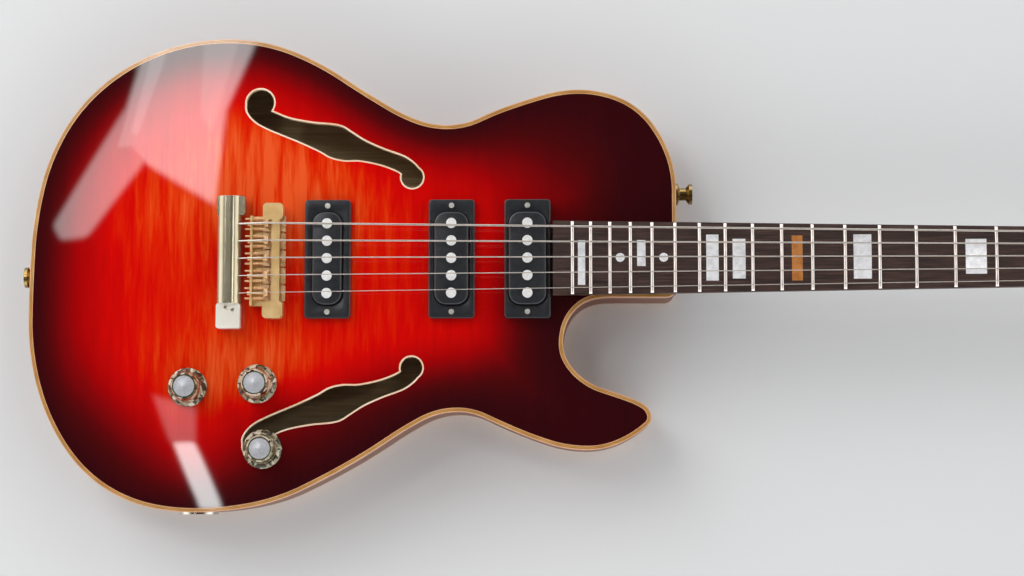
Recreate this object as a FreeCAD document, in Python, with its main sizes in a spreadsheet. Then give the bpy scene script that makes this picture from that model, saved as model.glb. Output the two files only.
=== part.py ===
import FreeCAD, Part
import math
import os
import re
import Sketcher
from types import SimpleNamespace

# A semi hollow electric guitar with one cutaway, five strings, three pickups and three
# control knobs. Millimetres. It lies on its flat back: the origin is on the back, on the
# line under the middle string, a little behind the saddles. X runs along the neck,
# Y towards the bass side and Z out of the arched top.

doc = FreeCAD.newDocument("electric_guitar")
sheet = doc.addObject("Spreadsheet::Sheet", "Sizes")

SIZES = {
    # Body
    "body_length": 409.0, "body_width": 299.8, "body_tail_x": -150.6,
    "body_treble_y": -157.9, "body_middle_y": -8.0, "body_depth": 54.0,
    "dome_radius": 2600.0, "dome_x": 50.0, "back_thickness": 4.0,
    "top_thickness": 4.0, "rim_thickness": 3.2, "binding_width": 2.6,
    "binding_height": 6.0, "lining_width": 6.0, "lining_height": 10.0,
    "block_half_width": 41.0, "block_shoulder_length": 34.0,
    "block_shoulder_width": 100.0,
    # Clearances
    "fit_gap": 0.3, "running_gap": 0.08, "overrun": 5.0,
    # Sound holes
    "hole_length": 108.0, "hole_angle": 26.5, "hole_lobe_x": -4.5,
    "hole_lobe_out": 108.3, "hole_big_radius": 8.7, "hole_small_radius": 6.8,
    "hole_binding_width": 1.0,
    # Neck
    "scale_length": 642.0, "saddle_x": 2.0, "board_end_x": 180.7,
    "board_seat": 55.0, "board_thickness": 6.0, "board_camber": 305.0,
    "board_end_half_width": 23.4, "board_nut_half_width": 16.1,
    "fret_width": 2.2, "fret_height": 1.1, "fret_end_inset": 0.4,
    "fret_tang": 0.6, "fret_tang_depth": 3.5, "marker_depth": 1.2,
    "marker_dot_radius": 2.8, "nut_length": 5.0, "nut_rise": 2.1,
    "tenon_half_width": 20.5, "tenon_depth": 31.0, "neck_depth_at_nut": 15.0,
    "neck_depth_at_heel": 20.0, "heel_reach": 21.0, "heel_foot": 5.0,
    "heel_inset": 1.2, "truss_rod_radius": 2.7, "truss_rod_start": 200.0,
    "truss_rod_drop": 7.4, "truss_nut_radius": 3.9, "truss_nut_length": 11.0,
    "truss_nut_grip": 8.0,
    # Small screws
    "small_screw_radius": 1.7, "small_screw_head": 0.9, "small_screw_shank": 0.9,
    "small_screw_length": 12.0,
    # Headstock
    "head_tilt_angle": 8.0, "head_length": 168.0, "head_thickness": 14.5,
    "head_drop": 0.5, "head_shoulder_half_width": 37.0, "cover_length": 38.0,
    "cover_half_width": 11.5, "cover_tip_half_width": 5.5,
    "cover_thickness": 1.8, "cover_start": 2.0,
    # Tuners
    "post_radius": 3.0, "post_rise": 17.0, "post_side": 24.0,
    "first_bass_post": 45.0, "first_treble_post": 62.0, "post_pitch": 42.0,
    "bushing_radius": 5.0, "bushing_depth": 8.0, "bushing_rim_radius": 6.6,
    "bushing_rim_height": 1.5, "housing_depth": 13.0, "housing_wall": 1.2,
    "housing_half_width": 8.0, "gear_radius": 5.2, "gear_thickness": 4.0,
    "worm_radius": 2.4, "worm_length": 9.0, "worm_shaft_radius": 1.7,
    "mesh_gap": 0.25, "button_gap": 8.0, "button_length": 15.0,
    "button_half_width": 9.0, "button_thickness": 7.0, "button_round": 2.6,
    "button_boss_radius": 3.0, "button_boss": 3.0, "wrap_rise": 6.0,
    "wrap_gap": 0.55, "lug_thickness": 1.2, "lug_reach_back": 13.0,
    "lug_reach_front": 19.0, "lug_half_width": 4.0, "housing_back_reach": 8.0,
    "housing_front_reach": 14.0, "gear_lift": 1.8,
    # Strings
    "saddle_pitch": 10.9, "nut_pitch": 6.5, "ball_inset": 4.4, "ball_rise": 4.2,
    "string_lift_nut": 0.4, "string_lift_saddle": 3.2, "first_string_radius": 0.66,
    "second_string_radius": 0.53, "third_string_radius": 0.41,
    "fourth_string_radius": 0.31, "fifth_string_radius": 0.24,
    "string_gap": 0.2, "wrap_thinning": 0.01, "ball_radius": 1.9, "ball_length": 3.4,
    # Tailpiece
    "tailpiece_front_x": -14.5, "tailpiece_width": 15.0, "tailpiece_top_y": 39.4,
    "tailpiece_bottom_y": -43.8, "tailpiece_base": 55.0, "tailpiece_height": 9.4,
    "tailpiece_round": 6.2, "tailpiece_lug_length": 12.0, "tailpiece_lug_reach": 2.5,
    "tailpiece_facet_length": 15.5, "tailpiece_facet_drop": 2.2,
    "tailpiece_hole_radius": 1.1, "tailpiece_hole_depth": 3.0,
    "stud_radius": 3.2, "stud_depth": 16.0, "stud_bushing_wall": 2.0,
    "stud_inset": 7.5, "stud_seat": 4.0, "tailpiece_lug_round": 1.5,
    "pad_hole_across": 2.9, "pad_hole_along": 11.5, "pad_hole_step": 1.6,
    # Bridge
    "bridge_rear_x": -8.6, "bridge_front_x": 12.0, "bridge_middle_y": -1.4,
    "bridge_half_length": 36.2, "bridge_base": 55.6, "bridge_plate": 2.1,
    "bridge_pad_length": 10.6, "bridge_pad_rear_x": -0.6, "bridge_pad_height": 7.2,
    "bridge_pad_round": 2.6, "rail_thickness": 1.5, "rail_height": 4.2,
    "bar_rear_x": 5.2, "bar_front_x": 10.0, "bar_thickness": 1.8,
    "bridge_post_radius": 2.4, "bridge_wheel_radius": 5.2,
    "bridge_wheel_height": 1.7, "bridge_post_depth": 14.0,
    "saddle_width": 9.7, "saddle_rear": 2.4, "saddle_front": 1.3,
    "saddle_sled_front_x": 13.4, "saddle_sled_thickness": 1.5,
    "saddle_crest_radius": 1.0, "saddle_travel": 1.5, "guide_spread": 3.2,
    "guide_radius": 0.6, "guide_end_x": -11.8, "guide_rise": 2.0,
    "saddle_block_height": 2.8, "saddle_ridge_width": 4.4,
    "spring_wire_radius": 0.25, "spring_radius": 1.25,
    "screw_radius": 0.8, "screw_head_radius": 1.3, "screw_head_length": 1.6,
    "screw_slot": 0.4,
    # Pickups
    "bridge_pickup_x": 39.5, "middle_pickup_x": 117.3, "neck_pickup_x": 164.8,
    "ring_width": 28.8, "ring_length": 74.6, "ring_top": 57.5, "ring_foot": 49.0,
    "ring_corner": 2.2, "pickup_length": 58.2, "bridge_pickup_width": 18.6,
    "middle_pickup_width": 21.4, "neck_pickup_width": 23.6, "pickup_top": 61.0,
    "pickup_depth": 21.0, "pickup_corner": 7.5, "pickup_wall": 1.2,
    "pole_radius": 3.2, "pole_head": 1.4, "pole_proud": 0.7,
    "pole_shank_radius": 1.6, "pole_length": 16.4, "pole_pitch": 10.95,
    "coil_height": 14.0,
    "magnet_width": 6.0, "magnet_height": 3.0, "pickup_plate": 1.2,
    "foam_height": 5.0, "ring_screw_inset": 3.9,
    # Controls
    "tone_knob_x": -48.0, "tone_knob_y": -80.1, "volume_knob_x": -4.2,
    "volume_knob_y": -78.1, "balance_knob_x": -0.6, "balance_knob_y": -118.8,
    "knob_radius": 12.2, "knob_edge": 1.2, "knob_waist_radius": 9.4,
    "knob_waist_height": 5.2, "knob_crown_radius": 8.2, "knob_height": 15.4,
    "knob_wall": 0.9, "knob_lift": 1.3, "cap_radius": 7.0,
    "cap_thickness": 0.7, "shaft_radius": 3.0, "shaft_top_drop": 3.0,
    "pot_bushing_radius": 4.7, "pot_bushing_rise": 5.4, "pot_radius": 12.0,
    "pot_height": 9.0, "pot_shoulder_radius": 5.8, "pot_shoulder": 1.2,
    "pot_nut_radius": 6.6, "pot_nut_height": 2.4, "pot_washer_radius": 7.4,
    "wide_washer_radius": 11.4, "pot_washer_thickness": 1.1,
    # Output jack
    "jack_x": -44.0, "jack_height": 26.0, "jack_bore_radius": 3.25,
    "jack_sleeve_radius": 4.6, "cup_radius": 10.8,
    "cup_depth": 11.0, "cup_wall": 1.0, "cup_lip": 1.2, "cup_lip_radius": 12.6,
    "cup_floor": 1.5, "jack_nut_radius": 6.3, "jack_nut_height": 2.2,
    "jack_proud": 1.0, "jack_bore_length": 14.0, "jack_end": 1.5,
    "jack_body_radius": 7.6,
    # Strap buttons
    "strap_height": 25.0, "tail_strap_y": -8.0, "neck_strap_y": 44.5,
    "strap_flange_radius": 7.2, "strap_flange": 1.6, "strap_waist_radius": 4.0,
    "strap_head_radius": 6.6, "strap_head": 2.0, "tail_strap_length": 8.0,
    "tail_strap_inset": 0.7, "strap_sink": 1.0,
    "neck_strap_length": 11.0, "strap_screw_radius": 1.6,
    "strap_screw_head_radius": 3.2, "strap_screw_head": 1.8,
    "strap_screw_length": 22.0,
}


def fill_sheet():
    """Write every size into the spreadsheet as plain text with its alias."""
    for row, (alias, number) in enumerate(SIZES.items(), 1):
        sheet.set("A%d" % row, alias.replace("_", " "))
        sheet.set("B%d" % row, str(number))
        sheet.setAlias("B%d" % row, alias)
    doc.recompute()


class Size(float):
    """A number that keeps the sheet formula it comes from, so that it can be bound."""

    def __new__(cls, number, text):
        made = float.__new__(cls, number)
        made.text = text
        return made

    def joined(self, other, number, sign, swapped=False):
        mine = self.text
        theirs = other.text if isinstance(other, Size) else repr(float(other))
        first, second = (theirs, mine) if swapped else (mine, theirs)
        return Size(number, "(%s %s %s)" % (first, sign, second))

    def __add__(self, other):
        return self.joined(other, float(self) + float(other), "+")

    def __radd__(self, other):
        return self.joined(other, float(other) + float(self), "+", True)

    def __sub__(self, other):
        return self.joined(other, float(self) - float(other), "-")

    def __rsub__(self, other):
        return self.joined(other, float(other) - float(self), "-", True)

    def __mul__(self, other):
        return self.joined(other, float(self) * float(other), "*")

    def __rmul__(self, other):
        return self.joined(other, float(other) * float(self), "*", True)

    def __truediv__(self, other):
        return self.joined(other, float(self) / float(other), "/")

    def __neg__(self):
        return Size(-float(self), "(0 - %s)" % self.text)


fill_sheet()
s = SimpleNamespace(**{
    alias: Size(float(sheet.get(alias)), "Sizes." + alias) for alias in SIZES
})

UP = FreeCAD.Vector(0, 0, 1)
DOWN = FreeCAD.Vector(0, 0, -1)
ALONG = FreeCAD.Vector(1, 0, 0)
BACKWARD = FreeCAD.Vector(-1, 0, 0)
BASSWARD = FreeCAD.Vector(0, 1, 0)
TREBLEWARD = FreeCAD.Vector(0, -1, 0)
HALF = 0.5
SEMITONES = 12
FRET_COUNT = 21
WRAP_TURNS = 3
FIRST_WRAP_DEGREES = 270
STRAIGHT_DEGREES = 180
SPRING_TURNS = 5
QUARTERS = 4
pieces = []

# Shares along and across the pieces that they shape, measured on the photograph by hand.
# The neck's heel: share of its height, of its width and of its reach.
HEEL_TOP_SHARE = 0.25
HEEL_SHARES = [(0.0, 0.68, 0.56), (0.35, 0.78, 0.64), (0.7, 0.92, 0.86), (1.0, 1.0, 1.0)]
# The head: share of its length, of the nut's and of the shoulder's half width, and heading.
HEAD_OUTLINE_SHARES = [
    (0.0, 1.0, 0.0, 5), (0.20, 0.0, 1.0, 18), (0.55, 0.0, 0.99, -4), (0.93, 0.0, 0.87, -14),
]
COVER_SHARES = [(0.0, 1.0, 0.0), (0.45, 1.0, 0.0), (0.75, 0.0, 1.0), (1.0, 0.0, 1.0)]
# The fingerboard's block markers: the fret space, the share of its length, and the shares
# of the half width where the block starts and ends.
MARKER_SHARES = [
    (21, 0.40, -0.74, 0.47), (18, 0.39, -0.24, 0.48), (15, 0.48, -0.67, 0.65),
    (14, 0.47, -0.62, 0.53), (12, 0.35, -0.70, 0.64), (10, 0.52, -0.67, 0.69), (7, 0.51, -0.56, 0.57),
    (5, 0.51, -0.60, 0.60), (3, 0.51, -0.60, 0.60), (1, 0.50, -0.60, 0.60),
]
DOT_SPACES = (17, 19)


def point(x, y, z=0.0):
    """A vector from sizes, which may carry their formulas."""
    return FreeCAD.Vector(float(x), float(y), float(z))


def bind(thing, path, amount):
    """Tie one property of an object to the sheet where the amount has a formula."""
    if isinstance(amount, Size):
        thing.setExpression(path, amount.text)


def place(thing, corner, axis=UP, turn=None):
    """Put an object at a corner given as three sizes, its own Z along the axis."""
    rotation = turn if turn is not None else FreeCAD.Rotation(UP, axis)
    thing.Placement = FreeCAD.Placement(point(*corner), rotation)
    for letter, amount in zip("xyz", corner):
        bind(thing, "Placement.Base." + letter, amount)
    return thing


def box(name, length, width, height, corner):
    """A block with its lowest corner at the place given."""
    thing = doc.addObject("Part::Box", name)
    for path, amount in (("Length", length), ("Width", width), ("Height", height)):
        setattr(thing, path, float(amount))
        bind(thing, path, amount)
    return place(thing, corner)


def rod(name, radius, height, foot, axis=UP):
    """A cylinder that starts at its foot and runs along the axis."""
    thing = doc.addObject("Part::Cylinder", name)
    for path, amount in (("Radius", radius), ("Height", height)):
        setattr(thing, path, float(amount))
        bind(thing, path, amount)
    return place(thing, foot, axis)


def fuse(name, *things):
    thing = doc.addObject("Part::MultiFuse", name)
    thing.Shapes = list(things)
    return thing


def common(name, *things):
    thing = doc.addObject("Part::MultiCommon", name)
    thing.Shapes = list(things)
    return thing


def cut(name, base, tool):
    thing = doc.addObject("Part::Cut", name)
    thing.Base = base
    thing.Tool = tool
    return thing


def group(name, *things):
    """Separate solids kept together in one piece of the parts list."""
    thing = doc.addObject("Part::Compound", name)
    thing.Links = list(things)
    return thing


def shaped(name, shape):
    """A shape made with Part's own functions."""
    thing = doc.addObject("Part::Feature", name)
    thing.Shape = shape
    return thing


def keep(label, thing):
    """Enter a finished piece in the parts list under the name of its file."""
    thing.Label = label
    pieces.append(thing)
    return thing


def body_plane(body, role):
    for feature in body.Origin.OriginFeatures:
        if feature.Role == role:
            return feature
    raise RuntimeError("no plane " + role)


def pin_vertex(sketch, line, end, x, y):
    """Fix one end of a sketch line at its two sizes, measured from the sketch's origin."""
    for kind, amount, axis in (("DistanceX", x, -2), ("DistanceY", y, -1)):
        if float(amount) == 0.0:
            sketch.addConstraint(Sketcher.Constraint("PointOnObject", line, end, axis))
            continue
        index = sketch.addConstraint(
            Sketcher.Constraint(kind, -1, 1, line, end, float(amount)))
        if isinstance(amount, Size):
            sketch.setExpression("Constraints[%d]" % index, amount.text)


def profile_sketch(body, name, role, corners):
    """A closed sketch of straight lines whose corners are held by named sizes."""
    sketch = body.newObject("Sketcher::SketchObject", name)
    sketch.AttachmentSupport = [(body_plane(body, role), "")]
    sketch.MapMode = "FlatFace"
    flat = [point(x, y) for x, y in corners]
    count = len(flat)
    for i in range(count):
        sketch.addGeometry(Part.LineSegment(flat[i], flat[(i + 1) % count]), False)
    for i in range(count):
        sketch.addConstraint(Sketcher.Constraint("Coincident", i, 2, (i + 1) % count, 1))
    for i, (x, y) in enumerate(corners):
        pin_vertex(sketch, i, 1, x, y)
    return sketch


def turned(name, profile, foot, axis=UP):
    """A round piece: a closed profile of (radius, height) corners turned about its axis."""
    body = doc.addObject("PartDesign::Body", name)
    sketch = profile_sketch(body, name + "_profile", "XZ_Plane", profile)
    spin = body.newObject("PartDesign::Revolution", name + "_turn")
    spin.Profile = sketch
    spin.ReferenceAxis = (sketch, ["V_Axis"])
    spin.Angle = 360.0
    sketch.Visibility = False
    return place(body, foot, axis)


def padded_plate(name, corners, thickness, foot, round_radius=None):
    """A flat plate: a sketch of corners padded upwards, with its upright edges rounded."""
    body = doc.addObject("PartDesign::Body", name)
    sketch = profile_sketch(body, name + "_outline", "XY_Plane", corners)
    pad = body.newObject("PartDesign::Pad", name + "_pad")
    pad.Profile = sketch
    pad.Length = float(thickness)
    bind(pad, "Length", thickness)
    if round_radius is not None:
        doc.recompute()
        upright = [
            "Edge%d" % (i + 1) for i, edge in enumerate(pad.Shape.Edges)
            if abs(edge.tangentAt(edge.FirstParameter).z) > HALF
        ]
        fillet = body.newObject("PartDesign::Fillet", name + "_rounding")
        fillet.Base = (pad, upright)
        fillet.Radius = float(round_radius)
        bind(fillet, "Radius", round_radius)
    return place(body, foot)


def rounded_block(name, length, width, height, corner, round_radius):
    """A block with its upright edges rounded, its lowest corner at the place given."""
    corners = [(0, 0), (length, 0), (length, width), (0, width)]
    return padded_plate(name, corners, height, corner, round_radius)


def rectangle(length, width):
    """Four corners of a rectangle about the origin."""
    return [(-length * HALF, -width * HALF), (length * HALF, -width * HALF),
            (length * HALF, width * HALF), (-length * HALF, width * HALF)]


# Tangent arcs. Two points with a direction each are joined by two arcs that share a
# tangent where they meet.

def biarc(start, start_way, end, end_way):
    """The two arcs, each as three points, from one directed point to the next."""
    chord = end - start
    flat = 2 * (1 - start_way.dot(end_way))
    slope = 2 * chord.dot(start_way + end_way)
    if abs(flat) < 1e-9:
        reach = chord.dot(chord) / slope
    else:
        reach = (-slope + math.sqrt(slope ** 2 + 4 * flat * chord.dot(chord))) / (2 * flat)
    first_corner = start + start_way * reach
    last_corner = end - end_way * reach
    meeting = (first_corner + last_corner) * HALF
    return [arc_points(start, first_corner, meeting), arc_points(meeting, last_corner, end)]


def arc_points(start, corner, end):
    """Three points of the arc that leaves start and enters end along the corner's legs."""
    middle = (start + end) * HALF
    height = (corner - middle).Length
    half_chord = (end - start).Length * HALF
    turn = math.atan2(height, half_chord)
    share = math.tan(turn * HALF) / math.tan(turn) if turn > 1e-6 else HALF
    return [start, middle + (corner - middle) * share, end]


def edge_through(points):
    """An arc through three points, or a straight line where they are in line."""
    start, middle, end = points
    bend = (middle - start).cross(end - start).Length
    if bend < 1e-5 * (end - start).Length:
        return Part.makeLine(start, end)
    return Part.Arc(start, middle, end).toShape()


def inset_arc(points, inset):
    """The same arc moved to its left by the inset, which is inwards on an outline."""
    start, middle, end = points
    bend = (middle - start).cross(end - start)
    if bend.Length < 1e-5 * (end - start).Length:
        step = UP.cross((end - start).normalize()) * inset
        return [p + step for p in points]
    circle = Part.Arc(start, middle, end).toShape().Curve
    sense = 1 if bend.z > 0 else -1
    share = (circle.Radius - sense * inset) / circle.Radius
    return [circle.Center + (p - circle.Center) * share for p in points]


def outline_wire(directed_points, inset, level):
    """A closed outline of tangent arcs, drawn in by the inset, at the level given."""
    edges = []
    lift = UP * float(level)
    for i, (here, way) in enumerate(directed_points):
        there, next_way = directed_points[(i + 1) % len(directed_points)]
        for arc in biarc(here, way, there, next_way):
            edges.append(edge_through([p + lift for p in inset_arc(arc, float(inset))]))
    return Part.Wire(edges)


def heading(degrees):
    return point(math.cos(math.radians(degrees)), math.sin(math.radians(degrees)))


# The body outline seen from above, anticlockwise from the tail: shares of the body's
# length and width, and the heading of the edge there in degrees.
BODY_OUTLINE_SHARES = [
    (0.000, 0.407, 270), (0.055, 0.143, 303), (0.131, 0.043, 330), (0.261, 0.000, 0),
    (0.427, 0.046, 25.5), (0.559, 0.148, 34), (0.664, 0.208, 0), (0.745, 0.171, 336.5),
    (0.862, 0.129, 0), (0.945, 0.170, 37), (0.960, 0.198, 94), (0.928, 0.237, 160),
    (0.850, 0.284, 139), (0.825, 0.350, 90), (0.850, 0.429, 39), (0.899, 0.448, 0),
    (0.984, 0.448, 0), (1.000, 0.470, 90), (1.000, 0.673, 90), (0.962, 0.822, 128),
    (0.852, 0.889, 180), (0.745, 0.855, 199.5), (0.647, 0.812, 180), (0.559, 0.851, 149),
    (0.410, 0.971, 157), (0.297, 1.000, 181), (0.108, 0.903, 220.5), (0.016, 0.690, 257),
]


def body_points():
    return [
        (point(s.body_tail_x + s.body_length * x, s.body_treble_y + s.body_width * y),
         heading(angle))
        for x, y, angle in BODY_OUTLINE_SHARES
    ]


body_end_x = s.body_tail_x + s.body_length


def slab(name, wire, height):
    """A closed outline raised into a slab of the height given."""
    flat = shaped(name + "_outline", Part.Face(wire))
    thing = doc.addObject("Part::Extrusion", name)
    thing.Base = flat
    thing.DirMode = "Custom"
    thing.Dir = UP
    thing.Solid = True
    thing.LengthFwd = float(height)
    bind(thing, "LengthFwd", height)
    return thing


def dome(name, sink):
    """The ball whose top is the arched top's surface, or one sunk below it."""
    thing = doc.addObject("Part::Sphere", name)
    radius = s.dome_radius - sink
    thing.Radius = float(radius)
    bind(thing, "Radius", radius)
    place(thing, (s.dome_x, s.body_middle_y, s.body_depth - s.dome_radius))
    thing.Placement.Rotation = FreeCAD.Rotation(BASSWARD, 90)
    return thing


def root(amount):
    """A square root that keeps its formula."""
    return Size(math.sqrt(float(amount)), "sqrt(%s)" % amount.text)


def top_height(x, y):
    """Height of the arched top above the back at one place."""
    across = (x - s.dome_x) * (x - s.dome_x) + (y - s.body_middle_y) * (y - s.body_middle_y)
    return s.body_depth - s.dome_radius + root(s.dome_radius * s.dome_radius - across)


dome_surface = dome("dome_surface", 0)
dome_underside = dome("dome_underside", s.top_thickness)
dome_binding = dome("dome_binding", s.binding_height)
dome_lining = dome("dome_lining", s.top_thickness + s.lining_height)
full_height = s.body_depth + s.overrun

# Back plate: a flat maple plate inside its binding.
back_plate = slab("back_blank", outline_wire(body_points(), s.binding_width, 0),
                  s.back_thickness)
keep("back_plate", back_plate)

# The neck's pocket, cut through the top, its binding, the rim and the block.
pocket_half_width = s.tenon_half_width + s.fit_gap
pocket_floor = s.board_seat - s.tenon_depth - s.fit_gap
neck_slot = box("neck_slot", body_end_x - s.board_end_x + s.overrun, pocket_half_width * 2,
                full_height, (s.board_end_x - s.fit_gap, -pocket_half_width, pocket_floor))

# Rim: the bent sides, rebated for the bindings at both edges.
rim_low = common("rim_low", dome_binding, slab(
    "rim_low_blank", outline_wire(body_points(), 0, s.binding_height), full_height))
rim_high = common("rim_high", dome_underside, slab(
    "rim_high_blank", outline_wire(body_points(), s.binding_width, s.back_thickness),
    full_height))
rim_hollow = slab("rim_hollow", outline_wire(body_points(), s.rim_thickness, 0),
                  full_height * 2)
rim_ring = cut("rim_ring", fuse("rim_blank", rim_low, rim_high), rim_hollow)
cup_bore = rod("cup_bore", s.cup_radius + s.running_gap, s.cup_depth + s.overrun * 2,
               (s.jack_x, s.body_treble_y - s.overrun, s.jack_height), BASSWARD)
strap_bore_tail = rod("strap_bore_tail", s.strap_screw_radius, s.strap_screw_length,
                      (s.body_tail_x - s.overrun, s.tail_strap_y, s.strap_height), ALONG)
strap_bore_neck = rod("strap_bore_neck", s.strap_screw_radius, s.strap_screw_length,
                      (body_end_x + s.overrun, s.neck_strap_y, s.strap_height), BACKWARD)
rim_cuts = fuse("rim_cuts", neck_slot, cup_bore, strap_bore_tail, strap_bore_neck)
keep("side_rim", cut("side_rim", rim_ring, rim_cuts))

# Bindings: strips let into the edges of the top and the back.
binding_inner = slab("binding_inner", outline_wire(body_points(), s.binding_width, 0),
                     full_height * 2)
top_strip = cut("top_strip", common("top_strip_blank", dome_surface, slab(
    "top_strip_slab", outline_wire(body_points(), 0, s.back_thickness), full_height)),
    fuse("top_strip_core", dome_binding, binding_inner))
top_binding = cut("top_binding", top_strip, neck_slot)
back_strip = slab("back_strip", outline_wire(body_points(), 0, s.fit_gap),
                  s.binding_height - s.fit_gap)
back_binding = cut("back_binding", back_strip, binding_inner)

# Centre block: a solid core from the tail to the neck, with the pickup cavities and the
# neck's pocket routed into it.
inner_slab = slab("inner_slab", outline_wire(body_points(), s.rim_thickness, s.back_thickness),
                  full_height)
block_core = box("block_core", s.body_length, s.block_half_width * 2, full_height,
                 (s.body_tail_x, -s.block_half_width, 0))
block_shoulder = box("block_shoulder", s.block_shoulder_length, s.block_shoulder_width,
                     full_height,
                     (body_end_x - s.block_shoulder_length, -s.block_half_width, 0))
block_zone = fuse("block_zone", block_core, block_shoulder)

PICKUPS = [
    ("bridge", s.bridge_pickup_x, s.bridge_pickup_width),
    ("middle", s.middle_pickup_x, s.middle_pickup_width),
    ("neck", s.neck_pickup_x, s.neck_pickup_width),
]
pickup_floor = s.pickup_top - s.pickup_depth - s.pickup_plate - s.foam_height
cavity_length = s.pickup_length + s.fit_gap * 2
cavities = []
for name, x, width in PICKUPS:
    cavity_width = width + s.fit_gap * 2
    cavities.append(box(name + "_cavity", cavity_width, cavity_length, full_height,
                        (x - cavity_width * HALF, -cavity_length * HALF, pickup_floor)))
    for side in (-1, 1):
        cavities.append(rod(
            "%s_ring_bore_%s" % (name, "treble" if side < 0 else "bass"),
            s.small_screw_shank, s.small_screw_length + s.overrun,
            (x, (s.ring_length * HALF - s.ring_screw_inset) * side,
             s.ring_top - s.small_screw_length)))
wire_channel = box("wire_channel", s.magnet_width, s.block_half_width + s.overrun,
                   s.foam_height, (s.bridge_pickup_x - s.magnet_width * HALF,
                                   -s.block_half_width - s.overrun, pickup_floor))
pickup_channel = rod("pickup_channel", s.magnet_height, s.neck_pickup_x - s.bridge_pickup_x,
                     (s.bridge_pickup_x, 0, pickup_floor + s.magnet_height), ALONG)

bridge_post_x = (s.bridge_pad_rear_x + s.bridge_front_x) * HALF
bridge_post_ys = [
    s.bridge_middle_y + (s.bridge_half_length - s.bridge_pad_length * HALF) * side
    for side in (-1, 1)
]
stud_x = s.tailpiece_front_x - s.tailpiece_width * HALF
stud_ys = [s.tailpiece_bottom_y + s.stud_inset, s.tailpiece_top_y - s.stud_inset]
bushing_outer = s.stud_radius + s.stud_bushing_wall
bushing_bores = []
for i, (x, y) in enumerate([(stud_x, y) for y in stud_ys]
                           + [(bridge_post_x, y) for y in bridge_post_ys]):
    bushing_bores.append(rod("bushing_bore_%d" % i, bushing_outer, full_height,
                             (x, y, s.tailpiece_base - s.stud_depth - s.overrun)))

block_cuts = fuse("block_cuts", neck_slot, wire_channel, pickup_channel,
                  strap_bore_tail, strap_bore_neck, *cavities, *bushing_bores)
keep("centre_block", cut("centre_block", common(
    "block_blank", inner_slab, block_zone, dome_underside), block_cuts))

# Linings: strips glued inside the rim that the top and the back are glued to.
lining_inner_wire = Part.Face(outline_wire(body_points(), s.rim_thickness, 0)).makeOffset2D(
    -float(s.lining_width)).OuterWire
lining_hollow = slab("lining_hollow", lining_inner_wire, full_height * 2)
block_keepout = fuse("block_keepout", *[
    box("keepout_%d" % i, length + s.fit_gap * 2, width + s.fit_gap * 2, full_height,
        (x - s.fit_gap, -s.block_half_width - s.fit_gap, 0))
    for i, (length, width, x) in enumerate([
        (s.body_length, s.block_half_width * 2, s.body_tail_x),
        (s.block_shoulder_length, s.block_shoulder_width, body_end_x - s.block_shoulder_length),
    ])
])
upper_strip = cut("upper_strip", common("upper_strip_blank", inner_slab, dome_underside),
                  fuse("upper_strip_core", dome_lining, lining_hollow, block_keepout, cup_bore))
lower_blank = slab("lower_strip_blank",
                   outline_wire(body_points(), s.rim_thickness, s.back_thickness),
                   s.lining_height)
lower_strip = cut("lower_strip", lower_blank,
                  fuse("lower_strip_core", lining_hollow, block_keepout))
keep("linings", group("linings", upper_strip, lower_strip))

# Sound holes: two S shaped slots, each with a round lobe at both ends. The edges are
# shares of the slot's length, along it and out towards the rim.
HOLE_OUTER_SHARES = [
    (0.030, -0.020), (0.100, -0.016), (0.200, -0.008), (0.330, 0.028), (0.440, 0.070),
    (0.500, 0.084), (0.560, 0.078), (0.660, 0.068), (0.780, 0.073), (0.900, 0.086),
    (0.980, 0.074), (1.020, 0.052),
]
HOLE_INNER_SHARES = [
    (-0.076, -0.020), (-0.050, -0.075), (0.020, -0.110), (0.120, -0.116), (0.300, -0.104),
    (0.440, -0.100), (0.520, -0.104), (0.600, -0.085), (0.680, -0.046), (0.800, -0.014),
    (0.900, -0.004), (0.950, -0.012), (0.980, -0.030),
]


def hole_edge(shares, grow, side):
    """One long edge of a sound hole as a smooth curve, moved out by the growth."""
    along = heading(-s.hole_angle * side)
    outward = point(-along.y, along.x) * side
    start = point(s.hole_lobe_x, s.body_middle_y + s.hole_lobe_out * side)
    flat = [start + (along * x + outward * y) * float(s.hole_length) for x, y in shares]
    moved = []
    for i, here in enumerate(flat):
        step = (flat[min(i + 1, len(flat) - 1)] - flat[max(i - 1, 0)]).normalize()
        moved.append(here + point(-step.y, step.x) * (float(grow) * side))
    curve = Part.BSplineCurve()
    curve.interpolate(moved)
    return curve


def hole_tool(name, grow, side):
    """The tool that cuts one sound hole; side is 1 for the bass and -1 for the treble."""
    outer = hole_edge(HOLE_OUTER_SHARES, grow, side)
    inner = hole_edge(HOLE_INNER_SHARES, -grow, side)
    ends = [Part.makeLine(outer.EndPoint, inner.EndPoint),
            Part.makeLine(inner.StartPoint, outer.StartPoint)]
    wire = Part.Wire(Part.__sortEdges__([outer.toShape(), ends[0], inner.toShape(), ends[1]]))
    band = slab(name + "_band", wire, full_height)
    along = heading(-s.hole_angle * side)
    lobe_y = s.body_middle_y + s.hole_lobe_out * side
    big = rod(name + "_big_lobe", s.hole_big_radius + grow, full_height,
              (s.hole_lobe_x, lobe_y, 0))
    small = rod(name + "_small_lobe", s.hole_small_radius + grow, full_height,
                (s.hole_lobe_x + s.hole_length * along.x,
                 lobe_y + s.hole_length * along.y, 0))
    return fuse(name, band, big, small)


hole_strips = []
hole_cuts = []
for name, side in (("bass", 1), ("treble", -1)):
    wide = hole_tool(name + "_hole_wide", s.hole_binding_width, side)
    open_slot = hole_tool(name + "_hole_open", 0, side)
    hole_cuts.append(wide)
    strip = cut(name + "_hole_strip", common(name + "_hole_plug", wide, dome_surface),
                fuse(name + "_hole_core", open_slot, dome_underside))
    hole_strips.append(strip)

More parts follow.
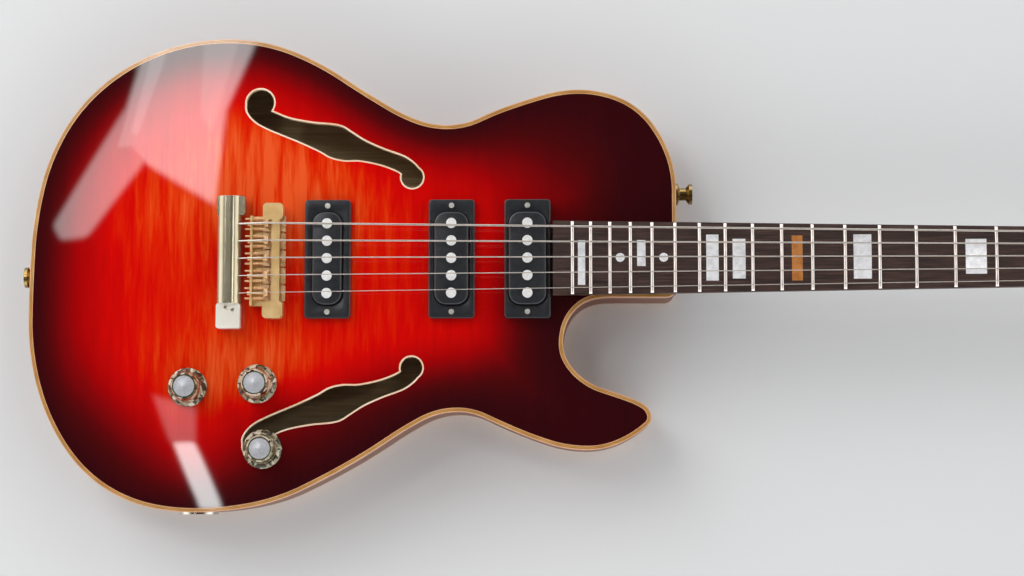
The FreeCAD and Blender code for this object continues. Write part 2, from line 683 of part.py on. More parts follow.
KNOBS = [
    ("tone", s.tone_knob_x, s.tone_knob_y, s.pot_washer_radius),
    ("volume", s.volume_knob_x, s.volume_knob_y, s.pot_washer_radius),
    ("balance", s.balance_knob_x, s.balance_knob_y, s.wide_washer_radius),
]
knob_bores = [
    rod(name + "_top_bore", s.pot_bushing_radius + s.running_gap, full_height, (x, y, 0))
    for name, x, y, washer in KNOBS
]
hole_binding = cut("hole_binding", group("hole_strips", *hole_strips), knob_bores[-1])
keep("bindings", group("bindings", top_binding, back_binding, hole_binding))

# Top plate: the arched maple top inside its binding.
top_blank = cut("top_blank", common("top_solid", dome_surface, slab(
    "top_slab", outline_wire(body_points(), s.binding_width, s.back_thickness), full_height)),
    dome_underside)
top_cuts = fuse("top_cuts", neck_slot, *hole_cuts, *knob_bores, *cavities, *bushing_bores)
top_plate = keep("top_plate", cut("top_plate", top_blank, top_cuts))

# Neck: shaft with a rounded back, heel, tenon and tilted head in one piece of wood.
nut_x = s.saddle_x + s.scale_length
board_taper = (s.board_end_half_width - s.board_nut_half_width) / (nut_x - s.board_end_x)


def board_half_width(x):
    return s.board_end_half_width - board_taper * (x - s.board_end_x)


def neck_section(x, half_width, depth):
    """The neck's cross section: flat on top, rounded at the back."""
    high = s.board_seat
    left = point(x, half_width, high)
    right = point(x, -half_width, high)
    bottom = point(x, 0, high - depth)
    return Part.Wire([Part.Arc(left, bottom, right).toShape(), Part.makeLine(right, left)])


def heel_section(level, half_width, reach):
    """The heel seen from above: straight at the body, rounded towards the neck."""
    left = point(body_end_x, half_width, level)
    right = point(body_end_x, -half_width, level)
    tip = point(body_end_x + reach, 0, level)
    return Part.Wire([Part.Arc(left, tip, right).toShape(), Part.makeLine(right, left)])


shaft_end_x = nut_x + s.nut_length + s.fit_gap
shaft_shape = Part.makeLoft([
    neck_section(body_end_x, board_half_width(body_end_x), s.neck_depth_at_heel),
    neck_section(shaft_end_x, s.board_nut_half_width, s.neck_depth_at_nut),
], True, True)
heel_width = board_half_width(body_end_x) - s.heel_inset
heel_top = s.board_seat - s.neck_depth_at_heel * HEEL_TOP_SHARE
heel_shape = Part.makeLoft([
    heel_section(s.heel_foot + (heel_top - s.heel_foot) * level, heel_width * wide,
                 s.heel_reach * reach)
    for level, wide, reach in HEEL_SHARES
], True, False)
tenon = box("tenon", body_end_x - s.board_end_x, s.tenon_half_width * 2, s.tenon_depth,
            (s.board_end_x, -s.tenon_half_width, s.board_seat - s.tenon_depth))

# The head has a frame of its own: its X runs to the tip and its Z out of its face.
head_place = FreeCAD.Placement(point(shaft_end_x, 0, s.board_seat - s.head_drop),
                               FreeCAD.Rotation(BASSWARD, float(s.head_tilt_angle)))


def head_points():
    """The head's outline in its own plane, anticlockwise, the same on both sides."""
    bass = []
    for along, neck_part, shoulder_part, angle in HEAD_OUTLINE_SHARES:
        half = (s.board_nut_half_width * neck_part
                + s.head_shoulder_half_width * shoulder_part)
        bass.append((float(s.head_length) * along, float(half), angle))
    treble = [(point(x, -y), heading(-angle)) for x, y, angle in bass]
    tip = [(point(s.head_length, 0), heading(90))]
    back = [(point(x, y), heading(180 + angle)) for x, y, angle in reversed(bass)]
    return treble + tip + back


def head_plate():
    """The head's outline made a plate, its face at zero."""
    points = head_points()
    edges = []
    for i in range(len(points) - 1):
        (here, way), (there, next_way) = points[i], points[i + 1]
        for arc in biarc(here, way, there, next_way):
            edges.append(edge_through(arc))
    edges.append(Part.makeLine(points[-1][0], points[0][0]))
    return Part.Face(Part.Wire(edges)).extrude(DOWN * float(s.head_thickness))


def on_head(name, shape):
    """A shape drawn in the head's own frame, put where the head is."""
    thing = shaped(name, shape)
    thing.Placement = head_place
    return thing


def solid_rod(radius, height, foot, axis=UP):
    """A cylinder as a bare shape, for pieces drawn in a frame of their own."""
    return Part.makeCylinder(float(radius), float(height), foot, axis)


def solid_box(length, width, height, corner):
    return Part.makeBox(float(length), float(width), float(height), corner)


POSTS = [
    (s.first_bass_post, 1), (s.first_bass_post + s.post_pitch, 1),
    (s.first_bass_post + s.post_pitch * 2, 1), (s.first_treble_post + s.post_pitch, -1),
    (s.first_treble_post, -1),
]
housing_back = s.head_thickness + s.housing_depth
lug_top = s.head_thickness + s.lug_thickness
lug_screw_us = (-s.lug_reach_back + s.small_screw_radius + s.fit_gap,
                s.lug_reach_front - s.small_screw_radius - s.fit_gap)
head_holes = []
for u, side in POSTS:
    head_holes.append(solid_rod(s.bushing_radius, s.head_thickness + s.overrun * 2,
                                point(u, s.post_side * side, -s.head_thickness - s.overrun)))
    for step in lug_screw_us:
        head_holes.append(solid_rod(s.small_screw_shank, s.small_screw_length,
                                    point(u + step, s.post_side * side, -lug_top)))
cover_screw_spots = [
    (s.cover_start + s.small_screw_radius * 2, s.cover_half_width - s.small_screw_radius * 2),
    (s.cover_start + s.small_screw_radius * 2, -s.cover_half_width + s.small_screw_radius * 2),
    (s.cover_start + s.cover_length - s.small_screw_radius * 2, 0),
]
for u, v in cover_screw_spots:
    head_holes.append(solid_rod(s.small_screw_shank, s.small_screw_length,
                                point(u, v, s.cover_thickness - s.small_screw_length)))
head_bores = on_head("head_bores", Part.makeCompound(head_holes))
truss_level = s.board_seat - s.truss_rod_drop
truss_nut_x = shaft_end_x + s.truss_nut_length
truss_bore = rod("truss_bore", s.truss_rod_radius + s.running_gap,
                 truss_nut_x - s.truss_rod_start, (s.truss_rod_start, 0, truss_level), ALONG)
truss_pocket = box("truss_pocket", s.truss_nut_length * 2,
                   (s.truss_nut_radius + s.fit_gap) * 2, s.board_seat,
                   (shaft_end_x + s.fit_gap, -s.truss_nut_radius - s.fit_gap,
                    truss_level - s.truss_nut_radius - s.fit_gap))
neck_wood = fuse("neck_wood", shaped("shaft", shaft_shape), shaped("heel", heel_shape), tenon,
                 on_head("head_wood", head_plate()))
keep("neck", cut("neck", neck_wood, fuse("neck_cuts", head_bores, truss_bore, truss_pocket)))

# Truss rod with the brass nut that tightens it, under the cover on the head.
truss_nut = turned("truss_nut", [
    (0, 0), (s.truss_nut_radius, 0), (s.truss_nut_radius, s.truss_nut_grip),
    (0, s.truss_nut_grip),
], (truss_nut_x, 0, truss_level), ALONG)
truss_bar = rod("truss_bar", s.truss_rod_radius, truss_nut_x - s.truss_rod_start,
                (s.truss_rod_start, 0, truss_level), ALONG)
keep("truss_rod", group("truss_rod", truss_bar, truss_nut))


def cover_plate():
    bass = [
        (float(s.cover_length) * along,
         float(s.cover_half_width * wide + s.cover_tip_half_width * tip))
        for along, wide, tip in COVER_SHARES
    ]
    corners = [point(x, -y) for x, y in bass] + [point(x, y) for x, y in reversed(bass)]
    plate = Part.Face(Part.makePolygon(corners + corners[:1])).extrude(
        UP * float(s.cover_thickness))
    plate.translate(point(s.cover_start, 0))
    upright = [e for e in plate.Edges if abs(e.tangentAt(e.FirstParameter).z) > HALF]
    return plate.makeFillet(float(s.cover_thickness), upright)


keep("truss_rod_cover", cut("truss_rod_cover", on_head("cover_blank", cover_plate()),
                            head_bores))

# Fingerboard: a tapered board with a cambered face, frets and inlaid markers.
board_top = s.board_seat + s.board_thickness
camber_axis_height = board_top - s.board_camber
board_plan = [
    (s.board_end_x, -s.board_end_half_width), (nut_x, -s.board_nut_half_width),
    (nut_x, s.board_nut_half_width), (s.board_end_x, s.board_end_half_width),
]
board_blank = padded_plate("board_blank", board_plan, s.board_thickness + s.overrun,
                           (0, 0, s.board_seat))


def camber(name, rise):
    """A long cylinder whose top is the board's cambered face, raised by a little."""
    return rod(name, s.board_camber + rise, s.scale_length + s.overrun * 2,
               (s.board_end_x - s.overrun, 0, camber_axis_height), ALONG)


def fret_x(number):
    """Where a fret stands: each shortens the string by the same share."""
    return s.saddle_x + s.scale_length * 2 ** (-number / SEMITONES)


board_face = camber("board_face", 0)
crowns = []
tangs = []
for number in range(1, FRET_COUNT + 1):
    x = fret_x(number)
    reach = board_half_width(x) - s.fret_end_inset
    crowns.append(box("crown_%d" % number, s.fret_width, reach * 2, s.board_thickness,
                      (x - s.fret_width * HALF, -reach, s.board_seat + s.fret_tang_depth)))
    tangs.append(box("tang_%d" % number, s.fret_tang, reach * 2, s.board_thickness,
                     (x - s.fret_tang * HALF, -reach, s.board_seat + s.fret_tang_depth)))
crown_solids = cut("crown_solids", common(
    "crown_blanks", fuse("crown_boxes", *crowns), camber("fret_face", s.fret_height)),
    board_face)
tang_boxes = fuse("tang_boxes", *tangs)
tang_solids = common("tang_solids", tang_boxes, camber("tang_face", s.fret_height * HALF))
keep("frets", fuse("frets", crown_solids, tang_solids))

marker_boxes = []
octave_boxes = []
for space, length_share, low_share, high_share in MARKER_SHARES:
    near = fret_x(space)
    far = fret_x(space - 1)
    middle = (near + far) * HALF
    length = (far - near) * length_share
    half = board_half_width(middle)
    marker = box("marker_%d" % space, length, half * (high_share - low_share),
                 s.board_thickness,
                 (middle - length * HALF, half * low_share, board_top - s.marker_depth))
    (octave_boxes if space == SEMITONES else marker_boxes).append(marker)
for space in DOT_SPACES:
    middle = (fret_x(space) + fret_x(space - 1)) * HALF
    marker_boxes.append(rod("dot_%d" % space, s.marker_dot_radius, s.board_thickness,
                            (middle, 0, board_top - s.marker_depth)))
marker_tools = fuse("marker_tools", *marker_boxes)
keep("fret_markers", common("fret_markers", marker_tools, board_face))
keep("octave_marker", common("octave_marker", octave_boxes[0], board_face))
board_solid = common("board_solid", board_blank, board_face)
keep("fingerboard", cut("fingerboard", board_solid,
                        fuse("board_cuts", marker_tools, octave_boxes[0], tang_boxes)))

# Strings: each runs from its ball in the tailpiece over the saddle and the nut to a post.
STRING_RADII = [s.first_string_radius, s.second_string_radius, s.third_string_radius,
                s.fourth_string_radius, s.fifth_string_radius]
middle_string = (len(STRING_RADII) - 1) * HALF
fret_level = board_top + s.fret_height
tailpiece_rear_x = s.tailpiece_front_x - s.tailpiece_width
break_x = s.saddle_x - s.saddle_travel - s.saddle_crest_radius


def camber_drop(y):
    return float(y) ** 2 / (2 * float(s.board_camber))


def saddle_y(index):
    return s.saddle_pitch * (middle_string - index)


def nut_string_y(index):
    return s.nut_pitch * (middle_string - index)


def string_bottom_at_saddle(index):
    return fret_level + s.string_lift_nut + s.string_lift_saddle - camber_drop(saddle_y(index))


def string_spots(index):
    """Where one string's middle passes: ball, saddle, nut and post, with its coil's start."""
    radius = STRING_RADII[index]
    u, side = POSTS[index]
    ball = point(tailpiece_rear_x + s.ball_inset, saddle_y(index),
                 s.tailpiece_base + s.ball_rise)
    crest = point(break_x, saddle_y(index), string_bottom_at_saddle(index) + radius)
    nut_y = nut_string_y(index)
    nut_spot = point(nut_x, nut_y,
                     fret_level + s.string_lift_nut - camber_drop(nut_y) + radius)
    local = head_place.inverse().multVec(nut_spot)
    centre = point(u, s.post_side * side)
    around = float(s.post_radius + radius + s.running_gap)
    gap = centre - point(local.x, local.y)
    run = math.sqrt(gap.Length ** 2 - around ** 2)
    bearing = math.atan2(gap.y, gap.x) - side * math.asin(around / gap.Length)
    touch = point(local.x + run * math.cos(bearing), local.y + run * math.sin(bearing),
                  s.wrap_rise)
    start_angle = math.atan2(touch.y - centre.y, touch.x - centre.x)
    return ball, crest, nut_spot, head_place.multVec(touch), start_angle, around


def string_run(start, end, radius):
    way = end - start
    return solid_rod(radius, way.Length, start, way)


def first_wrap(index, start_angle, around):
    """The part turn that a string lays round its post, below the coil that turns with it.

    Pulled tight, it is a hair thinner than the string, which keeps the joint at the knee clean.
    """
    u, side = POSTS[index]
    sweep = FIRST_WRAP_DEGREES
    wrap = Part.makeTorus(around, float(STRING_RADII[index] - s.wrap_thinning), point(0, 0), UP,
                          -STRAIGHT_DEGREES, STRAIGHT_DEGREES, sweep)
    turn = math.degrees(start_angle) - (sweep if side < 0 else 0)
    foot = FreeCAD.Placement(point(u, s.post_side * side, s.wrap_rise),
                             FreeCAD.Rotation(UP, turn))
    wrap.Placement = head_place.multiply(foot)
    return wrap


string_solids = []
string_bores = []
nut_slots = []
for index, radius in enumerate(STRING_RADII):
    ball, crest, nut_spot, end, start_angle, around = string_spots(index)
    ball_way = (crest - ball).normalize()
    spots = [ball, crest, nut_spot, end]
    solid = solid_rod(s.ball_radius, s.ball_length, ball - ball_way * float(s.ball_length),
                      ball_way)
    for here, there in zip(spots, spots[1:]):
        solid = solid.fuse(string_run(here, there, radius))
    for knee in spots[1:]:
        solid = solid.fuse(Part.makeSphere(float(radius), knee))
    solid = solid.fuse(first_wrap(index, start_angle, around))
    string_solids.append(solid)
    string_bores.append(solid_rod(radius + s.string_gap, s.tailpiece_width * 2,
                                  ball - ball_way * float(s.ball_length), ball_way))
    string_bores.append(solid_rod(s.ball_radius + s.running_gap, s.tailpiece_width,
                                  ball - ball_way * float(s.tailpiece_width), ball_way))
    slot_width = (radius + s.running_gap) * 2
    slot = solid_box(s.nut_length * 3, slot_width, s.board_thickness,
                     point(-s.nut_length * HALF, -slot_width * HALF, -slot_width * HALF))
    slot.Placement = FreeCAD.Placement(nut_spot, FreeCAD.Rotation(ALONG, end - nut_spot))
    nut_slots.append(slot)
keep("strings", group("strings", *[
    shaped("string_%d" % (i + 1), solid) for i, solid in enumerate(string_solids)]))

# Nut: a bone block at the end of the board with a slot for each string.
nut_blank = box("nut_blank", s.nut_length, s.board_nut_half_width * 2, s.board_thickness * 2,
                (nut_x, -s.board_nut_half_width, s.board_seat))
keep("nut", cut("nut", common("nut_block", nut_blank, rod(
    "nut_face", s.board_camber + s.nut_rise, s.nut_length * 2,
    (nut_x - s.nut_length * HALF, 0, camber_axis_height), ALONG)),
    shaped("nut_slots", Part.makeCompound(nut_slots))))


# Wound forms. A helix is made of two arcs to each quarter turn, and is swept as one tube.

def helix_wire(radius, pitch, turns, start_angle=0.0, sense=1, foot=point(0, 0)):
    """The middle line of a coil that climbs along Z from its foot."""
    radius = float(radius)
    pitch = float(pitch)
    rise = pitch / (2 * math.pi)

    def spot(turn):
        angle = start_angle + sense * 2 * math.pi * turn
        place_there = foot + point(radius * math.cos(angle), radius * math.sin(angle),
                                   pitch * turn)
        way = point(-radius * math.sin(angle) * sense, radius * math.cos(angle) * sense, rise)
        return place_there, way.normalize()

    edges = []
    steps = int(round(turns * QUARTERS))
    for i in range(steps):
        here, way = spot(i / QUARTERS)
        there, next_way = spot((i + 1) / QUARTERS)
        for arc in biarc(here, way, there, next_way):
            edges.append(edge_through(arc))
    first, first_way = spot(0)
    last, last_way = spot(turns)
    return Part.Wire(edges), first, first_way, last, last_way


def tube_along(wire, start, way, radius):
    """One unbroken tube along a wire."""
    ring = Part.Wire(Part.Circle(start, way, float(radius)).toShape())
    return wire.makePipeShell([ring], True, False)


def least_gap(wire, radius, turns):
    """The least clear distance between the loops of a coil, measured on points."""
    spots = wire.discretize(Distance=float(radius))
    half_turn = len(spots) / turns * HALF
    least = wire.Length
    for i, here in enumerate(spots):
        for j in range(i + int(half_turn), len(spots)):
            least = min(least, (spots[j] - here).Length)
    return least - 2 * float(radius)


# Tuners: a post with a gear, turned by a worm on the button's shaft in a closed housing.
housings = []
bushings = []
screw_solids = []
for number, (u, side) in enumerate(POSTS, 1):
    v = s.post_side * side
    radius = STRING_RADII[number - 1]
    centre = point(u, v)
    low = -housing_back
    shell = solid_box(s.housing_back_reach + s.housing_front_reach, s.housing_half_width * 2,
                      s.housing_depth,
                      point(u - s.housing_back_reach, v - s.housing_half_width, low))
    lug = solid_box(s.lug_reach_back + s.lug_reach_front, s.lug_half_width * 2,
                    s.lug_thickness,
                    point(u - s.lug_reach_back, v - s.lug_half_width, -lug_top))
    room = solid_box(s.housing_back_reach + s.housing_front_reach - s.housing_wall * 2,
                     (s.housing_half_width - s.housing_wall) * 2,
                     s.housing_depth - s.housing_wall + s.overrun,
                     point(u - s.housing_back_reach + s.housing_wall,
                           v - s.housing_half_width + s.housing_wall, low + s.housing_wall))
    worm_u = u + s.gear_radius + s.worm_radius + s.mesh_gap
    worm_w = low + s.housing_wall + s.gear_lift + s.gear_thickness * HALF
    way = BASSWARD * side
    shaft_start = point(worm_u, v - s.worm_length * HALF * side, worm_w)
    shaft_hole = solid_rod(s.worm_shaft_radius + s.running_gap, s.housing_half_width * 2,
                           point(worm_u, v, worm_w), way)
    housings.append(shell.fuse(lug).cut(room).cut(shaft_hole))
    for step in lug_screw_us:
        housings[-1] = housings[-1].cut(solid_rod(
            s.small_screw_shank, s.lug_thickness * 3,
            point(u + step, v, -lug_top - s.lug_thickness)))
        screw_solids.append(("lug", u + step, v))
    bushing = solid_rod(s.bushing_radius, s.bushing_depth,
                        point(u, v, -s.bushing_depth)).fuse(
        solid_rod(s.bushing_rim_radius, s.bushing_rim_height, centre))
    bushings.append(bushing.cut(solid_rod(
        s.post_radius + s.running_gap, s.bushing_depth * 3, point(u, v, -s.bushing_depth * 2))))
    start_angle, around = string_spots(number - 1)[-2:]
    pitch = radius * 2 + s.wrap_gap
    coil_line, first, first_way, last, last_way = helix_wire(
        around, pitch, WRAP_TURNS, start_angle, side, point(u, v, s.wrap_rise + pitch))
    print("wrap %d least gap %.2f mm" % (number, least_gap(coil_line, radius, WRAP_TURNS)))
    inward = (point(u, v, last.z) - last).normalize()
    tail = solid_rod(radius, around * 2, last, inward)
    coil = tube_along(coil_line, first, first_way, radius).fuse(
        Part.makeSphere(float(radius), last)).fuse(tail)
    gear = solid_rod(s.gear_radius, s.gear_thickness,
                     point(u, v, worm_w - s.gear_thickness * HALF))
    post = solid_rod(s.post_radius, housing_back - s.housing_wall - s.mesh_gap + s.post_rise,
                     point(u, v, low + s.housing_wall + s.mesh_gap)).fuse(gear)
    post = post.cut(solid_rod(radius + s.running_gap, around * 4,
                              last - inward * around, inward))
    keep("tuner_post_%d" % number, on_head("tuner_post_%d" % number,
                                           Part.makeCompound([post, coil])))
    button_foot = s.housing_half_width + s.button_gap
    grip = solid_box(s.button_half_width * 2, s.button_length, s.button_thickness,
                     point(worm_u - s.button_half_width,
                           v + button_foot * side - (s.button_length if side < 0 else 0),
                           worm_w - s.button_thickness * HALF))
    grip = grip.makeFillet(float(s.button_round), grip.Edges)
    shaft = solid_rod(s.worm_shaft_radius, s.worm_length * HALF + button_foot + s.button_round,
                      shaft_start, way)
    worm = solid_rod(s.worm_radius, s.worm_length, shaft_start, way)
    boss = solid_rod(s.button_boss_radius, s.button_boss + s.button_round,
                     point(worm_u, v + (button_foot - s.button_boss) * side, worm_w), way)
    keep("tuner_button_%d" % number, on_head(
        "tuner_button_%d" % number, grip.fuse([shaft, worm, boss])))
keep("tuner_housings", on_head("tuner_housings", Part.makeCompound(housings)))
keep("tuner_bushings", on_head("tuner_bushings", Part.makeCompound(bushings)))


def small_screw(foot, way):
    """A round headed wood screw: its head's underside at the foot, its head along the way."""
    head = solid_rod(s.small_screw_radius, s.small_screw_head, foot, way)
    return head.fuse(solid_rod(s.small_screw_shank, s.small_screw_length, foot, way * -1))


head_screws = [small_screw(point(u, v, -lug_top), DOWN) for kind, u, v in screw_solids]
head_screws += [small_screw(point(u, v, s.cover_thickness), UP) for u, v in cover_screw_spots]
head_screw_group = on_head("head_screws", Part.makeCompound(head_screws))
ring_screws = [
    small_screw(point(x, (s.ring_length * HALF - s.ring_screw_inset) * side, s.ring_top), UP)
    for name, x, width in PICKUPS for side in (-1, 1)
]
keep("small_screws", group("small_screws", head_screw_group,
                           shaped("ring_screws", Part.makeCompound(ring_screws))))

# Tailpiece: a half round bar on two studs, with a lug at the bass end and a flat pad with
# two small holes at the treble end.
tailpiece_length = s.tailpiece_top_y - s.tailpiece_bottom_y
bar_shape = solid_box(s.tailpiece_width, tailpiece_length, s.tailpiece_height,
                      point(tailpiece_rear_x, s.tailpiece_bottom_y, s.tailpiece_base))
long_edges = [
    e for e in bar_shape.Edges
    if abs(e.tangentAt(e.FirstParameter).y) > HALF
    and e.CenterOfMass.z > float(s.tailpiece_base + s.tailpiece_height * HALF)
]
tail_bar = shaped("tail_bar", bar_shape.makeFillet(float(s.tailpiece_round), long_edges))
tail_lug = rounded_block("tail_lug", s.tailpiece_width + s.tailpiece_lug_reach,
                         s.tailpiece_lug_length, s.tailpiece_height - s.tailpiece_facet_drop,
                         (tailpiece_rear_x, s.tailpiece_top_y - s.tailpiece_lug_length,
                          s.tailpiece_base), s.tailpiece_lug_round)
tail_pad = rounded_block("tail_pad", s.tailpiece_width, s.tailpiece_facet_length,
                         s.tailpiece_height - s.tailpiece_facet_drop,
                         (tailpiece_rear_x, s.tailpiece_bottom_y, s.tailpiece_base),
                         s.tailpiece_lug_round)
pad_room = box("pad_room", s.tailpiece_width * 2, s.tailpiece_facet_length + s.overrun,
               s.tailpiece_height,
               (tailpiece_rear_x - s.tailpiece_width * HALF,
                s.tailpiece_bottom_y - s.overrun,
                s.tailpiece_base + s.tailpiece_height - s.tailpiece_facet_drop))
pad_end = box("pad_end", s.tailpiece_width * 2, s.tailpiece_facet_length + s.overrun,
              s.tailpiece_height * 2,
              (tailpiece_rear_x - s.tailpiece_width * HALF, s.tailpiece_bottom_y - s.overrun,
               s.tailpiece_base - s.overrun))
pad_holes = [
    rod("pad_hole_%d" % i, s.tailpiece_hole_radius, s.tailpiece_hole_depth + s.overrun,
        (stud_x + across, s.tailpiece_bottom_y + along,
         s.tailpiece_base + s.tailpiece_height - s.tailpiece_facet_drop
         - s.tailpiece_hole_depth))
    for i, (across, along) in enumerate([
        (-s.pad_hole_across * HALF, s.pad_hole_along + s.pad_hole_step),
        (s.pad_hole_across, s.pad_hole_along)])
]
studs = [
    rod("stud_%d" % i, s.stud_radius, s.stud_depth + s.stud_seat,
        (stud_x, y, s.tailpiece_base - s.stud_depth))
    for i, y in enumerate(stud_ys)
]
stud_group = group("tailpiece_studs", *studs)
tail_blank = fuse("tail_blank", cut("tail_bar_short", tail_bar, pad_end), tail_lug, tail_pad)
keep("tailpiece", cut("tailpiece", tail_blank, fuse(
    "tail_cuts", shaped("string_bores", Part.makeCompound(string_bores)), *pad_holes, *studs)))
keep("tailpiece_studs", stud_group)

# Bridge: a plate with a pad at each end, a rear rail, and a bar over the saddles' feet. It
# stands on two threaded posts with thumbwheels.
bridge_top = s.bridge_base + s.bridge_plate
bridge_low_y = s.bridge_middle_y - s.bridge_half_length
pad_depth = s.bridge_front_x - s.bridge_pad_rear_x
inner_low_y = bridge_low_y + s.bridge_pad_length - s.bridge_pad_round
inner_high_y = s.bridge_middle_y + s.bridge_half_length - s.bridge_pad_length
inner_length = (s.bridge_half_length - s.bridge_pad_length + s.bridge_pad_round) * 2
bridge_plate_box = box("bridge_plate_box", s.bridge_front_x - s.bridge_rear_x,
                       inner_length, s.bridge_plate,
                       (s.bridge_rear_x, inner_low_y, s.bridge_base))
bridge_pads = [
    rounded_block("bridge_pad_%d" % i, pad_depth, s.bridge_pad_length,
                  s.bridge_pad_height, (s.bridge_pad_rear_x, y, s.bridge_base),
                  s.bridge_pad_round)
    for i, y in enumerate([
        bridge_low_y, s.bridge_middle_y + s.bridge_half_length - s.bridge_pad_length])
]
rail = box("bridge_rail", s.rail_thickness, inner_length, s.bridge_plate + s.rail_height,
           (s.bridge_rear_x, inner_low_y, s.bridge_base))
bar = box("bridge_bar", s.bar_front_x - s.bar_rear_x, inner_length, s.bar_thickness,
          (s.bar_rear_x, inner_low_y,
           s.bridge_base + s.bridge_pad_height - s.bar_thickness))
guide_level = bridge_top + s.fit_gap + s.guide_rise
rail_holes = []
for index in range(len(STRING_RADII)):
    y = saddle_y(index)
    for side in (-1, 1):
        rail_holes.append(rod("guide_hole_%d_%d" % (index, side + 1),
                              s.guide_radius + s.running_gap, s.rail_thickness * 3,
                              (s.bridge_rear_x - s.rail_thickness,
                               y + s.guide_spread * side, guide_level), ALONG))
    rail_holes.append(rod("screw_hole_%d" % index, s.screw_radius + s.running_gap,
                          s.rail_thickness * 3,
                          (s.bridge_rear_x - s.rail_thickness, y, guide_level), ALONG))
post_tops = []
bridge_post_parts = []
for i, y in enumerate(bridge_post_ys):
    length = s.bridge_post_depth + s.bridge_plate + s.fit_gap
    post = rod("bridge_post_shaft_%d" % i, s.bridge_post_radius, length,
               (bridge_post_x, y, s.bridge_base - s.bridge_post_depth))
    post_tops.append(post)
    wheel = rod("bridge_wheel_%d" % i, s.bridge_wheel_radius, s.bridge_wheel_height,
                (bridge_post_x, y, s.bridge_base - s.bridge_wheel_height))
    bridge_post_parts.append(fuse("bridge_post_%d" % i, post, wheel))
keep("bridge_posts", group("bridge_posts", *bridge_post_parts))
pad_relief = box("pad_relief", pad_depth + s.overrun * 2,
                 saddle_y(0) + s.saddle_width * HALF + s.fit_gap - inner_high_y,
                 s.bridge_pad_height - s.bridge_plate - s.bar_thickness,
                 (s.bridge_pad_rear_x - s.overrun, inner_high_y, bridge_top))
bridge_blank = fuse("bridge_blank", bridge_plate_box, *bridge_pads, rail, bar)
keep("bridge_frame", cut("bridge_frame", bridge_blank,
                         fuse("bridge_cuts", pad_relief, *rail_holes, *post_tops)))

bushing_tubes = []
for i, (x, y, inner) in enumerate([(stud_x, y, s.stud_radius) for y in stud_ys]
                                  + [(bridge_post_x, y, s.bridge_post_radius)
                                     for y in bridge_post_ys]):
    foot = s.tailpiece_base - s.stud_depth - s.overrun
    bushing_tubes.append(cut(
        "bushing_tube_%d" % i,
        rod("bushing_outer_%d" % i, bushing_outer, full_height, (x, y, foot)),
        rod("bushing_inner_%d" % i, inner, full_height * 2, (x, y, foot - s.overrun))))
keep("stud_bushings", common("stud_bushings", fuse("bushing_tubes", *bushing_tubes),
                             dome_surface))

# Saddles: each has a crest under its string, a foot that reaches under the bar, and two
# guide rods with springs that slide in the rail.
saddle_rear_x = s.saddle_x - s.saddle_rear
spring_room = saddle_rear_x - s.bridge_rear_x - s.rail_thickness
spring_rise = spring_room - s.spring_wire_radius * 2 - s.running_gap * 2
spring_pitch = spring_rise / SPRING_TURNS
springs = []
saddle_screws = []
for index in range(len(STRING_RADII)):
    number = index + 1
    y = saddle_y(index)
    foot_level = bridge_top + s.fit_gap
    crest_top = string_bottom_at_saddle(index) - s.string_gap
    sled = box("sled_%d" % number, s.saddle_sled_front_x - saddle_rear_x, s.saddle_width,
               s.saddle_sled_thickness,
               (saddle_rear_x, y - s.saddle_width * HALF, foot_level))
    block = box("saddle_block_%d" % number, s.saddle_rear + s.saddle_front, s.saddle_width,
                s.saddle_block_height,
                (saddle_rear_x, y - s.saddle_width * HALF, foot_level))
    ridge_width = s.saddle_ridge_width
    ridge_foot = foot_level + s.guide_rise
    ridge_top = crest_top - s.saddle_crest_radius
    ridge = box("ridge_%d" % number, s.saddle_crest_radius * 2, ridge_width,
                ridge_top - ridge_foot,
                (s.saddle_x - s.saddle_crest_radius, y - ridge_width * HALF, ridge_foot))
    crest = rod("crest_%d" % number, s.saddle_crest_radius, ridge_width,
                (s.saddle_x, y - ridge_width * HALF, ridge_top), BASSWARD)
    guides = [
        rod("guide_%d_%d" % (number, side + 1), s.guide_radius,
            saddle_rear_x - s.guide_end_x + s.saddle_rear * HALF,
            (s.guide_end_x, y + s.guide_spread * side, guide_level), ALONG)
        for side in (-1, 1)
    ]
    screw_room = rod("screw_room_%d" % number, s.screw_radius + s.running_gap,
                     (s.saddle_rear + s.saddle_front) * 2,
                     (saddle_rear_x - s.saddle_front, y, guide_level), ALONG)
    keep("saddle_%d" % number, cut("saddle_%d" % number, fuse(
        "saddle_solid_%d" % number, sled, block, ridge, crest, *guides), screw_room))
    head_start = s.bridge_rear_x - s.screw_head_length
    screw_end = s.saddle_x + s.saddle_front * HALF
    screw_head = rod("screw_head_%d" % number, s.screw_head_radius, s.screw_head_length,
                     (head_start, y, guide_level), ALONG)
    screw_shank = rod("screw_shank_%d" % number, s.screw_radius, screw_end - head_start,
                      (head_start, y, guide_level), ALONG)
    screw_slot = box("screw_slot_%d" % number, s.screw_slot * 2, s.screw_slot,
                     s.screw_head_radius * 2,
                     (head_start - s.screw_slot, y - s.screw_slot * HALF,
                      guide_level - s.screw_head_radius))
    saddle_screws.append(cut("saddle_screw_%d" % number, fuse(
        "saddle_screw_solid_%d" % number, screw_head, screw_shank), screw_slot))
    for side in (-1, 1):
        coil_line, first, first_way, last, last_way = helix_wire(
            s.spring_radius, spring_pitch, SPRING_TURNS)
        spring = shaped("spring_%d_%d" % (number, side + 1), tube_along(
            coil_line, first, first_way, s.spring_wire_radius))
        place(spring, (s.bridge_rear_x + s.rail_thickness + s.spring_wire_radius
                       + s.running_gap, y + s.guide_spread * side, guide_level), ALONG)
        springs.append(spring)
print("spring least gap %.2f mm" % least_gap(
    coil_line, s.spring_wire_radius, SPRING_TURNS))
keep("saddle_springs", group("saddle_springs", *springs))
keep("saddle_screws", group("saddle_screws", *saddle_screws))

